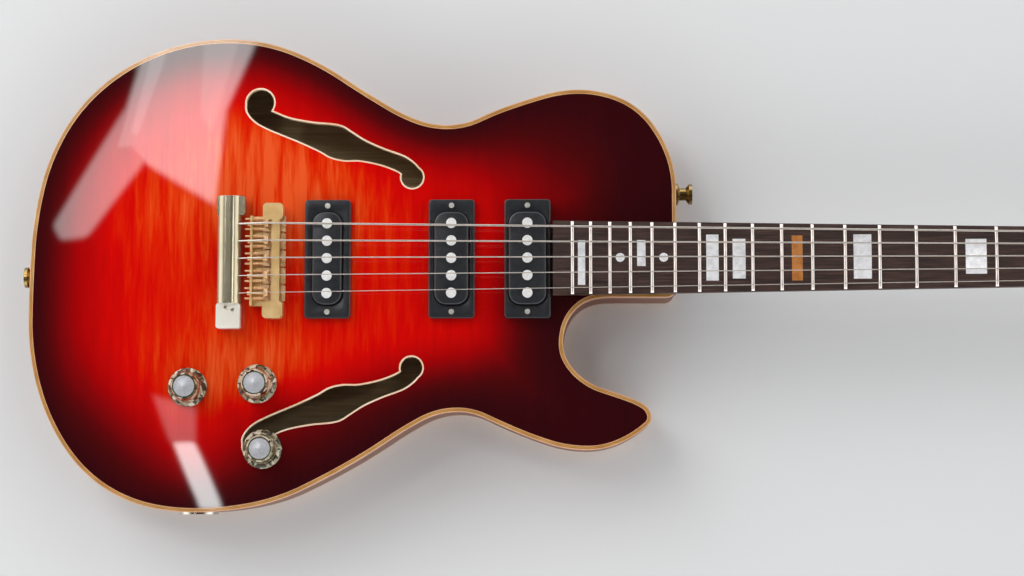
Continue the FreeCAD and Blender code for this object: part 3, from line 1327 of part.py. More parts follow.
# Pickups: a ring on the top, a cover with five pole pieces through it, and inside it a coil
# on a magnet and a plate, which stands on a foam pad in the cavity.
rings = []
covers = []
poles = []
coils = []
magnets = []
plates = []
pads = []
cover_foot = s.pickup_top - s.pickup_depth
plate_foot = cover_foot - s.pickup_plate
inner_gap = s.pickup_wall + s.fit_gap
for name, x, width in PICKUPS:
    ring_outer = padded_plate(name + "_ring_outer", rectangle(s.ring_width, s.ring_length),
                              s.ring_top - s.ring_foot, (x, 0, s.ring_foot), s.ring_corner)
    ring_window = padded_plate(
        name + "_ring_window",
        rectangle(width + s.fit_gap * 2, s.pickup_length + s.fit_gap * 2),
        full_height, (x, 0, s.ring_foot - s.overrun), s.pickup_corner + s.fit_gap)
    ring_bores = [
        rod("%s_ring_hole_%d" % (name, side + 1), s.small_screw_shank, full_height,
            (x, (s.ring_length * HALF - s.ring_screw_inset) * side,
             s.ring_foot - s.overrun))
        for side in (-1, 1)
    ]
    rings.append(cut(name + "_ring", ring_outer,
                     fuse(name + "_ring_cuts", ring_window, dome_surface, *ring_bores)))
    pole_spots = [
        (x, s.pole_pitch * (middle_string - i)) for i in range(len(STRING_RADII))
    ]
    pole_holes = [
        rod("%s_pole_hole_%d" % (name, i), s.pole_radius + s.running_gap,
            s.overrun * 2, (px, py, s.pickup_top - s.overrun))
        for i, (px, py) in enumerate(pole_spots)
    ]
    cover_outer = padded_plate(name + "_cover_outer", rectangle(width, s.pickup_length),
                               s.pickup_depth, (x, 0, cover_foot), s.pickup_corner)
    cover_room = padded_plate(
        name + "_cover_room",
        rectangle(width - s.pickup_wall * 2, s.pickup_length - s.pickup_wall * 2),
        s.pickup_depth - s.pickup_wall + s.overrun, (x, 0, cover_foot - s.overrun),
        s.pickup_corner - s.pickup_wall)
    covers.append(cut(name + "_cover", cover_outer,
                      fuse(name + "_cover_cuts", cover_room, *pole_holes)))
    magnet_foot = cover_foot
    coil_foot = magnet_foot + s.magnet_height
    coil_blank = padded_plate(
        name + "_coil_blank",
        rectangle(width - inner_gap * 2, s.pickup_length - inner_gap * 2),
        s.coil_height, (x, 0, coil_foot), s.pickup_corner - inner_gap)
    shank_holes = [
        rod("%s_shank_hole_%d" % (name, i), s.pole_shank_radius + s.running_gap,
            s.coil_height * 2, (px, py, coil_foot))
        for i, (px, py) in enumerate(pole_spots)
    ]
    coils.append(cut(name + "_coil", coil_blank, fuse(name + "_coil_cuts", *shank_holes)))
    magnets.append(box(name + "_magnet", s.magnet_width,
                       s.pickup_length - s.pickup_corner * 2, s.magnet_height,
                       (x - s.magnet_width * HALF,
                        -s.pickup_length * HALF + s.pickup_corner, magnet_foot)))
    plates.append(padded_plate(name + "_plate", rectangle(width, s.pickup_length),
                               s.pickup_plate, (x, 0, plate_foot), s.pickup_corner))
    pads.append(box(name + "_pad", width - s.pickup_wall * 2,
                    s.pickup_length - s.pickup_corner * 2, plate_foot - pickup_floor,
                    (x - width * HALF + s.pickup_wall,
                     -s.pickup_length * HALF + s.pickup_corner, pickup_floor)))
    pole_top = s.pickup_top + s.pole_proud
    for i, (px, py) in enumerate(pole_spots):
        head = rod("%s_pole_head_%d" % (name, i), s.pole_radius, s.pole_head,
                   (px, py, pole_top - s.pole_head))
        shank = rod("%s_pole_shank_%d" % (name, i), s.pole_shank_radius, s.pole_length,
                    (px, py, pole_top - s.pole_length))
        poles.append(fuse("%s_pole_%d" % (name, i), head, shank))
keep("pickup_rings", group("pickup_rings", *rings))
keep("pickup_covers", group("pickup_covers", *covers))
keep("pole_pieces", group("pole_pieces", *poles))
keep("pickup_coils", group("pickup_coils", *coils))
keep("pickup_magnets", group("pickup_magnets", *magnets))
keep("pickup_plates", group("pickup_plates", *plates))
keep("pickup_foam", group("pickup_foam", *pads))

# Controls: three potentiometers under the top, each with a washer and nut above it and a
# push on knob with a cap.
knob_profile = [
    (s.knob_waist_radius - s.knob_wall, 0), (s.knob_radius, 0), (s.knob_radius, s.knob_edge),
    (s.knob_waist_radius, s.knob_waist_height), (s.knob_crown_radius, s.knob_height),
    (s.cap_radius + s.running_gap, s.knob_height),
    (s.cap_radius + s.running_gap, s.knob_height - s.cap_thickness + s.running_gap),
    (0, s.knob_height - s.cap_thickness + s.running_gap),
    (0, s.knob_height - s.shaft_top_drop),
    (s.shaft_radius, s.knob_height - s.shaft_top_drop), (s.shaft_radius, s.knob_waist_height),
    (s.knob_waist_radius - s.knob_wall, s.knob_waist_height),
]
pots = []
pot_nut_parts = []
for name, x, y, washer_radius in KNOBS:
    top = top_height(x, y)
    knob_foot = top + s.knob_lift
    knob_body = turned(name + "_knob_body", knob_profile, (x, y, knob_foot))
    cap = rod(name + "_cap", s.cap_radius, s.cap_thickness,
              (x, y, knob_foot + s.knob_height - s.cap_thickness + s.running_gap))
    pot_top = top - s.top_thickness - s.pot_shoulder
    shaft_foot = pot_top - s.pot_height * HALF
    shaft_top = knob_foot + s.knob_height - s.shaft_top_drop
    shaft = rod(name + "_shaft", s.shaft_radius, shaft_top - shaft_foot, (x, y, shaft_foot))
    keep(name + "_knob", group(name + "_knob", knob_body, cap, shaft))
    can = rod(name + "_can", s.pot_radius, s.pot_height, (x, y, pot_top - s.pot_height))
    shoulder = common(name + "_shoulder", rod(
        name + "_shoulder_blank", s.pot_shoulder_radius, s.pot_shoulder * 3,
        (x, y, pot_top - s.pot_shoulder)), dome_underside)
    sleeve = rod(name + "_sleeve", s.pot_bushing_radius,
                 s.top_thickness + s.pot_shoulder * 2 + s.pot_bushing_rise,
                 (x, y, pot_top - s.pot_shoulder))
    shaft_room = rod(name + "_shaft_room", s.shaft_radius + s.running_gap, full_height,
                     (x, y, shaft_foot - s.running_gap))
    pots.append(cut(name + "_pot", fuse(name + "_pot_solid", can, shoulder, sleeve),
                    shaft_room))
    washer_top = top + s.pot_washer_thickness
    washer = cut(name + "_washer_ring", rod(
        name + "_washer_disc", washer_radius, s.pot_washer_thickness * 2,
        (x, y, top - s.pot_washer_thickness)), fuse(
        name + "_washer_cuts", dome_surface, rod(
            name + "_washer_hole", s.pot_bushing_radius, full_height, (x, y, 0))))
    nut_ring = turned(name + "_pot_nut", [
        (s.pot_bushing_radius, 0), (s.pot_nut_radius, 0),
        (s.pot_nut_radius, s.pot_nut_height), (s.pot_bushing_radius, s.pot_nut_height),
    ], (x, y, washer_top))
    pot_nut_parts += [washer, nut_ring]
keep("potentiometers", group("potentiometers", *pots))
keep("pot_nuts", group("pot_nuts", *pot_nut_parts))

# Output jack: a cup in the treble side with the jack screwed into its floor.
body_solid = slab("body_solid", outline_wire(body_points(), 0, 0), full_height)
cup_start = (s.jack_x, s.body_treble_y - s.cup_lip, s.jack_height)
cup_inner = s.cup_radius - s.cup_wall
jack_sleeve_room = s.jack_sleeve_radius + s.running_gap
cup_body = turned("cup_body", [
    (cup_inner, 0), (s.cup_radius, 0), (s.cup_radius, s.cup_depth),
    (jack_sleeve_room, s.cup_depth), (jack_sleeve_room, s.cup_depth - s.cup_floor),
    (cup_inner, s.cup_depth - s.cup_floor),
], cup_start, BASSWARD)
cup_lip = turned("cup_lip_blank", [
    (cup_inner, 0), (s.cup_lip_radius, 0), (s.cup_lip_radius, s.cup_lip * 3),
    (cup_inner, s.cup_lip * 3),
], cup_start, BASSWARD)
keep("jack_cup", fuse("jack_cup", cup_body, cut("cup_lip", cup_lip, body_solid)))
jack_start = s.cup_depth - s.cup_floor - s.jack_nut_height - s.jack_proud
jack_front = s.body_treble_y - s.cup_lip + jack_start
sleeve_length = s.cup_depth - jack_start
jack_barrel = turned("jack_barrel", [
    (s.jack_bore_radius, 0), (s.jack_sleeve_radius, 0), (s.jack_sleeve_radius, sleeve_length),
    (s.jack_body_radius, sleeve_length),
    (s.jack_body_radius, s.jack_bore_length + s.jack_end),
    (0, s.jack_bore_length + s.jack_end), (0, s.jack_bore_length),
    (s.jack_bore_radius, s.jack_bore_length),
], (s.jack_x, jack_front, s.jack_height), BASSWARD)
jack_nut = turned("jack_nut", [
    (s.jack_sleeve_radius, 0), (s.jack_nut_radius, 0), (s.jack_nut_radius, s.jack_nut_height),
    (s.jack_sleeve_radius, s.jack_nut_height),
], (s.jack_x, jack_front + s.jack_proud, s.jack_height), BASSWARD)
keep("output_jack", group("output_jack", jack_barrel, jack_nut))


# Strap buttons: one at the tail and one at the neck's end of the body, each on a screw.

def strap_profile(length):
    return [
        (s.strap_screw_radius, 0), (s.strap_flange_radius, 0),
        (s.strap_flange_radius, s.strap_sink + s.strap_flange),
        (s.strap_waist_radius, s.strap_sink + s.strap_flange * 2),
        (s.strap_waist_radius, s.strap_sink + length - s.strap_head * 2),
        (s.strap_head_radius, s.strap_sink + length - s.strap_head),
        (s.strap_head_radius, s.strap_sink + length),
        (s.strap_screw_head_radius, s.strap_sink + length),
        (s.strap_screw_head_radius, s.strap_sink + length - s.strap_screw_head),
        (s.strap_screw_radius, s.strap_sink + length - s.strap_screw_head),
    ]


strap_spots = [
    ("tail", s.body_tail_x + s.tail_strap_inset, s.tail_strap_y, s.tail_strap_length, -1),
    ("neck", body_end_x, s.neck_strap_y, s.neck_strap_length, 1),
]
strap_blanks = []
strap_screws = []
for name, x, y, length, side in strap_spots:
    way = ALONG * side
    strap_blanks.append(turned(name + "_strap_button", strap_profile(length),
                               (x - s.strap_sink * side, y, s.strap_height), way))
    head_seat = x + (length - s.strap_screw_head) * side
    screw_head = rod(name + "_strap_screw_head", s.strap_screw_head_radius,
                     s.strap_screw_head, (head_seat, y, s.strap_height), way)
    screw_shank = rod(name + "_strap_screw_shank", s.strap_screw_radius,
                      s.strap_screw_length, (head_seat, y, s.strap_height), way * -1)
    strap_screws.append(fuse(name + "_strap_screw", screw_head, screw_shank))
keep("strap_buttons", cut("strap_buttons", group("strap_blanks", *strap_blanks), body_solid))
keep("strap_screws", group("strap_screws", *strap_screws))

# Check every object, then write one file for each piece.
doc.recompute()
for thing in doc.Objects:
    faults = [word for word in thing.State if word in ("Invalid", "Error")]
    if faults:
        raise RuntimeError("%s is %s" % (thing.Label, faults))
for thing in pieces:
    shape = thing.Shape
    if shape.isNull() or not shape.isValid() or not shape.Solids:
        raise RuntimeError("bad shape: " + thing.Label)
os.makedirs("parts", exist_ok=True)
for thing in pieces:
    thing.Shape.exportStep(os.path.join("parts", thing.Label + ".step"))
    print("%-22s %3d solids %12.1f mm3" % (
        thing.Label, len(thing.Shape.Solids), thing.Shape.Volume))
print("pieces", len(pieces))
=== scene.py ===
import math

import bmesh
import bpy
import numpy as np
from mathutils import Matrix, Vector
from mathutils.geometry import delaunay_2d_cdt


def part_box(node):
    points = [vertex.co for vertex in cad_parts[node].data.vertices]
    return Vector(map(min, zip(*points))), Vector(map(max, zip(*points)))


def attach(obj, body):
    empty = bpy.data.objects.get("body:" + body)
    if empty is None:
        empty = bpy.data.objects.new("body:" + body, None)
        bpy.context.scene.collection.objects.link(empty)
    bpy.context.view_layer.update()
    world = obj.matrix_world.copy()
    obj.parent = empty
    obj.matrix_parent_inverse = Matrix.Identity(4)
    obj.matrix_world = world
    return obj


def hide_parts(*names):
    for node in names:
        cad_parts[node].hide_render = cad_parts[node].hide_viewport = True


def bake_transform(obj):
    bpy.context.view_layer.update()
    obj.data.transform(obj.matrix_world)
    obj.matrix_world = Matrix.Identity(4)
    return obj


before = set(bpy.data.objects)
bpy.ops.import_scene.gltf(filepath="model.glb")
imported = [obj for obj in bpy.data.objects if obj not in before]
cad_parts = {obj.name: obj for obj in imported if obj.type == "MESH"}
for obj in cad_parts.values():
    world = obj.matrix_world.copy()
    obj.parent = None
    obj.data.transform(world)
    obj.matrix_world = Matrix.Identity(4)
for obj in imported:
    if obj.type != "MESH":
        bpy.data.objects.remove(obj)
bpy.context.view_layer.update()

# Back plate: flat maple glued to the sides, stained dark cherry and lacquered outside. Its
# inner face stays bare wood, and shows dimly through the sound holes.
MM_PER_METRE = 1000


def srgb(code):
    """A colour written as sRGB hex, turned to the linear values that Blender takes."""
    parts = [int(code[i:i + 2], 16) / 255 for i in (1, 3, 5)]
    return [p / 12.92 if p <= 0.04045 else ((p + 0.055) / 1.055) ** 2.4 for p in parts] + [1.0]


def new_tree(name):
    """A material that holds nothing yet, and its node tree."""
    material = bpy.data.materials.new(name)
    material.use_nodes = True
    material.node_tree.nodes.clear()
    return material, material.node_tree


def add(tree, kind, settings=None, links=None, stops=()):
    """One shader node with its settings and with what is plugged into it. A ramp also gets
    its stops, each a position and a hex colour."""
    node = tree.nodes.new("ShaderNode" + kind)
    for key, value in (settings or {}).items():
        if isinstance(key, str) and hasattr(node, key):
            setattr(node, key, value)
        else:
            node.inputs[key].default_value = value
    for key, source in (links or {}).items():
        tree.links.new(source, node.inputs[key])
    for index, (place, code) in enumerate(stops):
        marks = node.color_ramp.elements
        mark = marks[index] if index < len(marks) else marks.new(place)
        mark.position = place
        mark.color = srgb(code)
    return node


def to_the_metre(sizes):
    """How many grains of a size go to the metre, for sizes in millimetres in X, Y and Z."""
    return [MM_PER_METRE / size for size in sizes]


def finish(name, grain, stops, settings, gloss=None):
    """A material whose colour, and gloss if given, wander along noise. The grain is one
    size in millimetres, or one each in X, Y and Z."""
    material, tree = new_tree(name)
    cells = to_the_metre(grain if isinstance(grain, tuple) else (grain, grain, grain))
    spot = add(tree, "TexCoord")
    stretch = add(tree, "Mapping", {"Scale": cells}, {"Vector": spot.outputs["Object"]})
    cloud = add(tree, "TexNoise", {"Scale": 1.0, "Detail": 5.0}, {"Vector": stretch.outputs[0]})
    tint = add(tree, "ValToRGB", None, {"Fac": cloud.outputs["Fac"]}, stops)
    links = {"Base Color": tint.outputs["Color"]}
    if gloss:
        spread = add(tree, "MapRange", {"To Min": gloss[0], "To Max": gloss[1]},
                     {"Value": cloud.outputs["Fac"]})
        links["Roughness"] = spread.outputs[0]
    surface = add(tree, "BsdfPrincipled", settings, links)
    add(tree, "OutputMaterial", None, {"Surface": surface.outputs[0]})
    return material


def dress(names, material):
    """Give carried-over frame nodes their finish."""
    for name in names:
        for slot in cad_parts[name].material_slots:
            slot.material = material


# Cherry stain under nitrocellulose lacquer outside: a dark red brown with a deep gloss. Bare
# maple inside: pale, dull and dusty. The grain is drawn 1.67 mm wide, some five times
# coarser than real, so that it shows.
MAPLE_GRAIN = (33.3, 1.67, 1.67)
BARE_ABOVE = 0.0035
back_finish, tree = new_tree("cherry_lacquer_and_bare_maple")
spot = add(tree, "TexCoord")
stretch = add(tree, "Mapping", {"Scale": to_the_metre(MAPLE_GRAIN)},
              {"Vector": spot.outputs["Object"]})
grain = add(tree, "TexNoise", {"Scale": 1.0, "Detail": 5.0}, {"Vector": stretch.outputs[0]})
stained = add(tree, "ValToRGB", None, {"Fac": grain.outputs["Fac"]},
              [(0.3, "#2A0508"), (0.7, "#4A0A0C")])
bare = add(tree, "ValToRGB", None, {"Fac": grain.outputs["Fac"]},
           [(0.3, "#AE9468"), (0.7, "#CDB68A")])
height = add(tree, "SeparateXYZ", None, {0: spot.outputs["Object"]})
within = add(tree, "Math", {"operation": "GREATER_THAN", 1: BARE_ABOVE},
             {0: height.outputs["Z"]})
lacquer = add(tree, "BsdfPrincipled",
              {"Roughness": 0.35, "Coat Weight": 1.0, "Coat Roughness": 0.05, "IOR": 1.5},
              {"Base Color": stained.outputs["Color"]})
wood = add(tree, "BsdfPrincipled", {"Roughness": 0.7, "IOR": 1.45},
           {"Base Color": bare.outputs["Color"]})
both = add(tree, "MixShader", None, {0: within.outputs[0], 1: lacquer.outputs[0],
                                     2: wood.outputs[0]})
add(tree, "OutputMaterial", None, {"Surface": both.outputs[0]})
dress(["back_plate"], back_finish)

# Sides: maple bent to the outline, stained amber and lacquered. They are glued to the
# linings and rebated at both edges for the bindings.

# Amber stain under thin lacquer: a warm brown with a faint sheen. Its lines run round the
# body and are drawn 2 mm apart, coarser than real, so that they show.
dress(["side_rim"], finish(
    "amber_lacquer_on_bent_maple", (16.7, 16.7, 2.0), [(0.25, "#4E2210"), (0.75, "#7A4020")],
    {"Roughness": 0.45, "Specular IOR Level": 0.25, "Coat Weight": 0.2,
     "Coat Roughness": 0.12, "IOR": 1.5}))

# Centre block and linings: bare maple and spruce inside the hollow body, glued to the top
# and the back. They are seen only through the sound holes.

# Bare maple and spruce, planed and never lacquered: dull, dusty and olive brown.
dress(["centre_block", "linings"], finish(
    "bare_maple_and_spruce", MAPLE_GRAIN, [(0.3, "#A98F62"), (0.7, "#C9B183")],
    {"Roughness": 0.7, "IOR": 1.45}))

# Bindings: strips of celluloid glued into the rebates, pale outside and inside with a
# tan strip between two thin brown lines. They follow the body's outline, which is kept as
# shares of its length and width with the heading at each point, joined by tangent arcs.
BODY_TAIL, BODY_LENGTH = -0.1506, 0.4090
BODY_TREBLE, BODY_WIDTH = -0.1579, 0.2998
BODY_OUTLINE = [
    (0.000, 0.407, 270), (0.055, 0.143, 303), (0.131, 0.043, 330), (0.261, 0.000, 0),
    (0.427, 0.046, 25.5), (0.559, 0.148, 34), (0.664, 0.208, 0), (0.745, 0.171, 336.5),
    (0.862, 0.129, 0), (0.945, 0.170, 37), (0.960, 0.198, 94), (0.928, 0.237, 160),
    (0.850, 0.284, 139), (0.825, 0.350, 90), (0.850, 0.429, 39), (0.899, 0.448, 0),
    (0.984, 0.448, 0), (1.000, 0.470, 90), (1.000, 0.673, 90), (0.962, 0.822, 128),
    (0.852, 0.889, 180), (0.745, 0.855, 199.5), (0.647, 0.812, 180), (0.559, 0.851, 149),
    (0.410, 0.971, 157), (0.297, 1.000, 181), (0.108, 0.903, 220.5), (0.016, 0.690, 257),
]
OUTLINE_STEP, ALMOST_STRAIGHT, ALMOST_ZERO = 0.0015, 1e-4, 1e-9
DOME_RADIUS, DOME_X, DOME_Y, DOME_TOP = 2.6, 0.050, -0.008, 0.054


def top_height(x, y):
    """Height of the arched top at a place, which is part of a large ball."""
    return DOME_TOP - DOME_RADIUS + math.sqrt(
        DOME_RADIUS ** 2 - (x - DOME_X) ** 2 - (y - DOME_Y) ** 2)


def arc_spots(start, corner, end, step):
    """Points along the arc that enters and leaves along the legs of its corner."""
    chord = end - start
    height = (corner - (start + end) / 2).length
    turn = math.atan2(height, chord.length / 2)
    count = max(2, int(chord.length / step))
    if turn < ALMOST_STRAIGHT:
        return [start.lerp(end, i / count) for i in range(count)]
    sense = 1 if (corner - start).cross(end - start) > 0 else -1
    radius = chord.length / 2 / math.sin(turn)
    first = math.atan2(*(corner - start).yx) - sense * math.pi / 2
    centre = start - radius * Vector((math.cos(first), math.sin(first)))
    return [
        centre + radius * Vector((math.cos(first + sense * 2 * turn * i / count),
                                  math.sin(first + sense * 2 * turn * i / count)))
        for i in range(count)
    ]


def body_outline(step):
    """The body's edge seen from above as points with the direction inwards at each."""
    marks = [
        (Vector((BODY_TAIL + BODY_LENGTH * x, BODY_TREBLE + BODY_WIDTH * y)),
         Vector((math.cos(math.radians(a)), math.sin(math.radians(a)))))
        for x, y, a in BODY_OUTLINE
    ]
    spots = []
    for (here, way), (there, next_way) in zip(marks, marks[1:] + marks[:1]):
        chord = there - here
        flat = 2 * (1 - way.dot(next_way))
        slope = 2 * chord.dot(way + next_way)
        reach = (chord.length_squared / slope if abs(flat) < ALMOST_ZERO else
                 (-slope + math.sqrt(slope ** 2 + 4 * flat * chord.length_squared)) / (2 * flat))
        first, last = here + way * reach, there - next_way * reach
        middle = (first + last) / 2
        spots += arc_spots(here, first, middle, step) + arc_spots(middle, last, there, step)
    inwards = []
    for i, spot in enumerate(spots):
        along = (spots[(i + 1) % len(spots)] - spots[i - 1]).normalized()
        inwards.append(Vector((-along.y, along.x)))
    return spots, inwards


def mesh_piece(name, spots, faces, body, slot, replaced=(), materials=(), sharp=35):
    """A mesh as an object that rides on a body of the frame and stands for its nodes. A piece may
    also be given no body."""
    mesh = bpy.data.meshes.new(name)
    mesh.from_pydata([tuple(p) for p in spots], [], faces)
    shell = bmesh.new()
    shell.from_mesh(mesh)
    bmesh.ops.recalc_face_normals(shell, faces=shell.faces)
    shell.to_mesh(mesh)
    shell.free()
    mesh.polygons.foreach_set("use_smooth", [True] * len(mesh.polygons))
    mesh.set_sharp_from_angle(angle=math.radians(sharp))
    piece = bpy.data.objects.new(name, mesh)
    bpy.context.collection.objects.link(piece)
    for material in materials:
        mesh.materials.append(material)
    if body:
        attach(piece, body)
    if replaced:
        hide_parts(*replaced)
    return piece


def loft(rings, closed=False):
    """Faces over rings of as many points each; closed joins the last ring to the first."""
    count = len(rings[0])
    spots = [p for ring in rings for p in ring]
    faces = []
    for i in range(len(rings) if closed else len(rings) - 1):
        here, there = i * count, (i + 1) % len(rings) * count
        for j in range(count):
            k = (j + 1) % count
            faces.append((here + j, here + k, there + k, there + j))
    if not closed:
        faces.append(tuple(reversed(range(count))))
        faces.append(tuple(range(len(spots) - count, len(spots))))
    return spots, faces


# Celluloid, scraped flush and buffed: warm, glossy and almost even, with clouds of 17 mm.
CELLULOID_CLOUD = 16.7
CELLULOID = {"Roughness": 0.25, "IOR": 1.5, "Coat Weight": 0.6, "Coat Roughness": 0.05}
pale_celluloid = finish("pale_celluloid", CELLULOID_CLOUD,
                        [(0.35, "#C78E5E"), (0.65, "#DBA679")], CELLULOID)
hole_celluloid = finish("ivory_celluloid", CELLULOID_CLOUD,
                        [(0.35, "#E2BE9C"), (0.65, "#F0D6BC")], CELLULOID)
tan_celluloid = finish("tan_celluloid", CELLULOID_CLOUD,
                       [(0.35, "#A97C38"), (0.65, "#C4964C")], CELLULOID)
brown_line = finish("brown_fibre_line", CELLULOID_CLOUD,
                    [(0.35, "#45220F"), (0.65, "#5A3018")], CELLULOID)

# The insets at which the strips of a binding meet, and the colour of each face round its
# cross section.
BINDING_STEPS = [0.0, 0.00012, 0.00075, 0.00095, 0.00175, 0.00195, 0.0026]
STRIP_COLOURS = [0, 0, 0, 1, 2, 1, 0, 0, 0]
BINDING_HEIGHT, BINDING_ROUND, BACK_BINDING_FOOT = 0.006, 0.00012, 0.0003
NECK_POCKET_START, NECK_POCKET_HALF = 0.1804, 0.0208
edge_spots, edge_inwards = body_outline(OUTLINE_STEP)


def edge_rings(low_level, top_level):
    """Cross sections of an edge binding, with the level of its top at each inset."""
    rings = []
    for spot, inward in zip(edge_spots, edge_inwards):
        ring = [Vector((*spot, low_level(spot)))]
        for index, inset in enumerate(BINDING_STEPS):
            place = spot + inward * inset
            drop = BINDING_ROUND if index == 0 else 0.0
            ring.append(Vector((*place, top_level(place) - drop)))
        ring.append(Vector((*place, low_level(place))))
        rings.append(ring)
    return rings


def edge_binding(name, rings, closed):
    """One edge binding, with each lengthwise strip in its own colour."""
    piece = mesh_piece(name, *loft(rings, closed), "guitar", "cream_binding", ["bindings"],
                       [pale_celluloid, brown_line, tan_celluloid])
    for index, face in enumerate(piece.data.polygons):
        on_a_strip = len(face.vertices) == 4
        if on_a_strip:
            face.material_index = STRIP_COLOURS[index % len(STRIP_COLOURS)]


def in_pocket(spot):
    """Whether a point of the outline lies where the neck comes in."""
    return spot.x > NECK_POCKET_START and abs(spot.y) < NECK_POCKET_HALF


rings = edge_rings(lambda p: top_height(*p) - BINDING_HEIGHT, lambda p: top_height(*p))
start = max(i for i, p in enumerate(edge_spots) if in_pocket(p)) + 1
rings = [ring for ring, p in zip(rings[start:] + rings[:start],
                                 edge_spots[start:] + edge_spots[:start]) if not in_pocket(p)]
edge_binding("top_edge_binding", rings, False)
rings = edge_rings(lambda p: BINDING_HEIGHT, lambda p: BACK_BINDING_FOOT)
edge_binding("back_edge_binding", rings, True)

# Top plate: figured maple carved to a shallow arch, glued to the sides and the block, with
# a red burst sprayed over it and thick gloss lacquer. Two f shaped holes are cut in it,
# each lined with a thin pale strip.
HOLE_LENGTH, HOLE_ANGLE = 0.108, math.radians(26.5)
HOLE_LOBE_X, HOLE_LOBE_OUT = -0.0045, 0.1083
BIG_LOBE, SMALL_LOBE, HOLE_LINE = 0.0087, 0.0068, 0.0010
# The two edges of a hole, as shares of its length along it and out from its middle line.
HOLE_OUTER = [
    (0.030, -0.020), (0.100, -0.016), (0.200, -0.008), (0.330, 0.028), (0.440, 0.070),
    (0.500, 0.084), (0.560, 0.078), (0.660, 0.068), (0.780, 0.073), (0.900, 0.086),
    (0.980, 0.074), (1.020, 0.052),
]
HOLE_INNER = [
    (-0.076, -0.020), (-0.050, -0.075), (0.020, -0.110), (0.120, -0.116), (0.300, -0.104),
    (0.440, -0.100), (0.520, -0.104), (0.600, -0.085), (0.680, -0.046), (0.800, -0.014),
    (0.900, -0.004), (0.950, -0.012), (0.980, -0.030),
]
HOLE_PARTS, LEVEL_EDGE = 5, 1e-12
TOP_THICKNESS = 0.004
KNOB_SPOTS = [(-0.0480, -0.0801), (-0.0042, -0.0781), (-0.0006, -0.1188)]
KNOB_BORE, BORE_SIDES = 0.0048, 24
PICKUP_MIDDLES, WINDOW_HALF_WIDTHS = [0.0395, 0.1173, 0.1648], [0.0096, 0.0110, 0.0121]
WINDOW_HALF_LENGTH, NECK_POCKET_END = 0.0294, 0.27
GRID, GRID_CLEARANCE, MERGE_WITHIN = 0.004, 0.005, 1e-7
GRID_LOW, GRID_HIGH, TRIANGLES_TO_THE_HULL = (-0.150, -0.157), (0.258, 0.142), 0


def smooth_line(marks, parts):
    """A smooth curve through all its marks, with so many parts between each two."""
    padded = [marks[0]] + marks + [marks[-1]]
    line = []
    for a, b, c, d in zip(padded, padded[1:], padded[2:], padded[3:]):
        for i in range(parts):
            t = i / parts
            line.append(0.5 * ((2 * b) + (c - a) * t + (2 * a - 5 * b + 4 * c - d) * t ** 2
                               + (3 * b - a - 3 * c + d) * t ** 3))
    return line + [marks[-1]]


def circle(centre, radius, count=40):
    """Points round a circle."""
    return [Vector((centre[0] + radius * math.cos(2 * math.pi * i / count),
                    centre[1] + radius * math.sin(2 * math.pi * i / count)))
            for i in range(count)]


def hole_loops(side, grow):
    """One sound hole as a band and two round lobes, each widened by the growth."""
    along = Vector((math.cos(HOLE_ANGLE), -math.sin(HOLE_ANGLE) * side))
    out = Vector((-along.y, along.x)) * side
    start = Vector((HOLE_LOBE_X, DOME_Y + HOLE_LOBE_OUT * side))
    edges = []
    for marks, sense in ((HOLE_OUTER, 1), (HOLE_INNER, -1)):
        line = smooth_line([start + (along * x + out * y) * HOLE_LENGTH for x, y in marks],
                           HOLE_PARTS)
        moved = []
        for i, here in enumerate(line):
            step = (line[min(i + 1, len(line) - 1)] - line[max(i - 1, 0)]).normalized()
            moved.append(here + Vector((-step.y, step.x)) * grow * side * sense)
        edges.append(moved)
    return [edges[0] + list(reversed(edges[1])), circle(start, BIG_LOBE + grow),
            circle(start + along * HOLE_LENGTH, SMALL_LOBE + grow)]


def inside(loops, places):
    """Which places lie inside any of the closed lines, by counting crossings."""
    result = np.zeros(len(places), bool)
    x, y = places[:, 0], places[:, 1]
    for loop in loops:
        within = np.zeros(len(places), bool)
        for a, b in zip(loop, loop[1:] + loop[:1]):
            if abs(b.y - a.y) > LEVEL_EDGE:
                within ^= ((a.y > y) != (b.y > y)) & (
                    x < (b.x - a.x) * (y - a.y) / (b.y - a.y) + a.x)
        result |= within
    return result


def box_loop(low_x, high_x, half_y):
    """The corners of a rectangle that lies evenly over the middle string's line."""
    return [Vector((low_x, -half_y)), Vector((high_x, -half_y)),
            Vector((high_x, half_y)), Vector((low_x, half_y))]


def nearest(places, line):
    """How far each place is from the nearest point of a line."""
    return np.array([np.min(np.hypot(*(line - place).T)) for place in places])


plate_edge = [spot + inward * BINDING_STEPS[-1]
              for spot, inward in zip(edge_spots, edge_inwards)]
edge_line = np.array([tuple(p) for p in edge_spots])
cuts = [box_loop(NECK_POCKET_START, NECK_POCKET_END, NECK_POCKET_HALF)]
cuts += [box_loop(x - half, x + half, WINDOW_HALF_LENGTH)
         for x, half in zip(PICKUP_MIDDLES, WINDOW_HALF_WIDTHS)]
cuts += [circle(spot, KNOB_BORE, BORE_SIDES) for spot in KNOB_SPOTS]
open_loops = hole_loops(1, 0.0) + hole_loops(-1, 0.0)
wide_loops = hole_loops(1, HOLE_LINE) + hole_loops(-1, HOLE_LINE)
flat_spots, flat_edges = [], []
for loop in [plate_edge] + cuts + open_loops + wide_loops:
    first = len(flat_spots)
    flat_spots += loop
    flat_edges += [(first + i, first + (i + 1) % len(loop)) for i in range(len(loop))]
grid = np.array([(x, y) for x in np.arange(GRID_LOW[0], GRID_HIGH[0], GRID)
                 for y in np.arange(GRID_LOW[1], GRID_HIGH[1], GRID)])
grid = grid[inside([plate_edge], grid)]
flat_spots += [Vector(g) for g in grid[nearest(grid, edge_line) > GRID_CLEARANCE]]
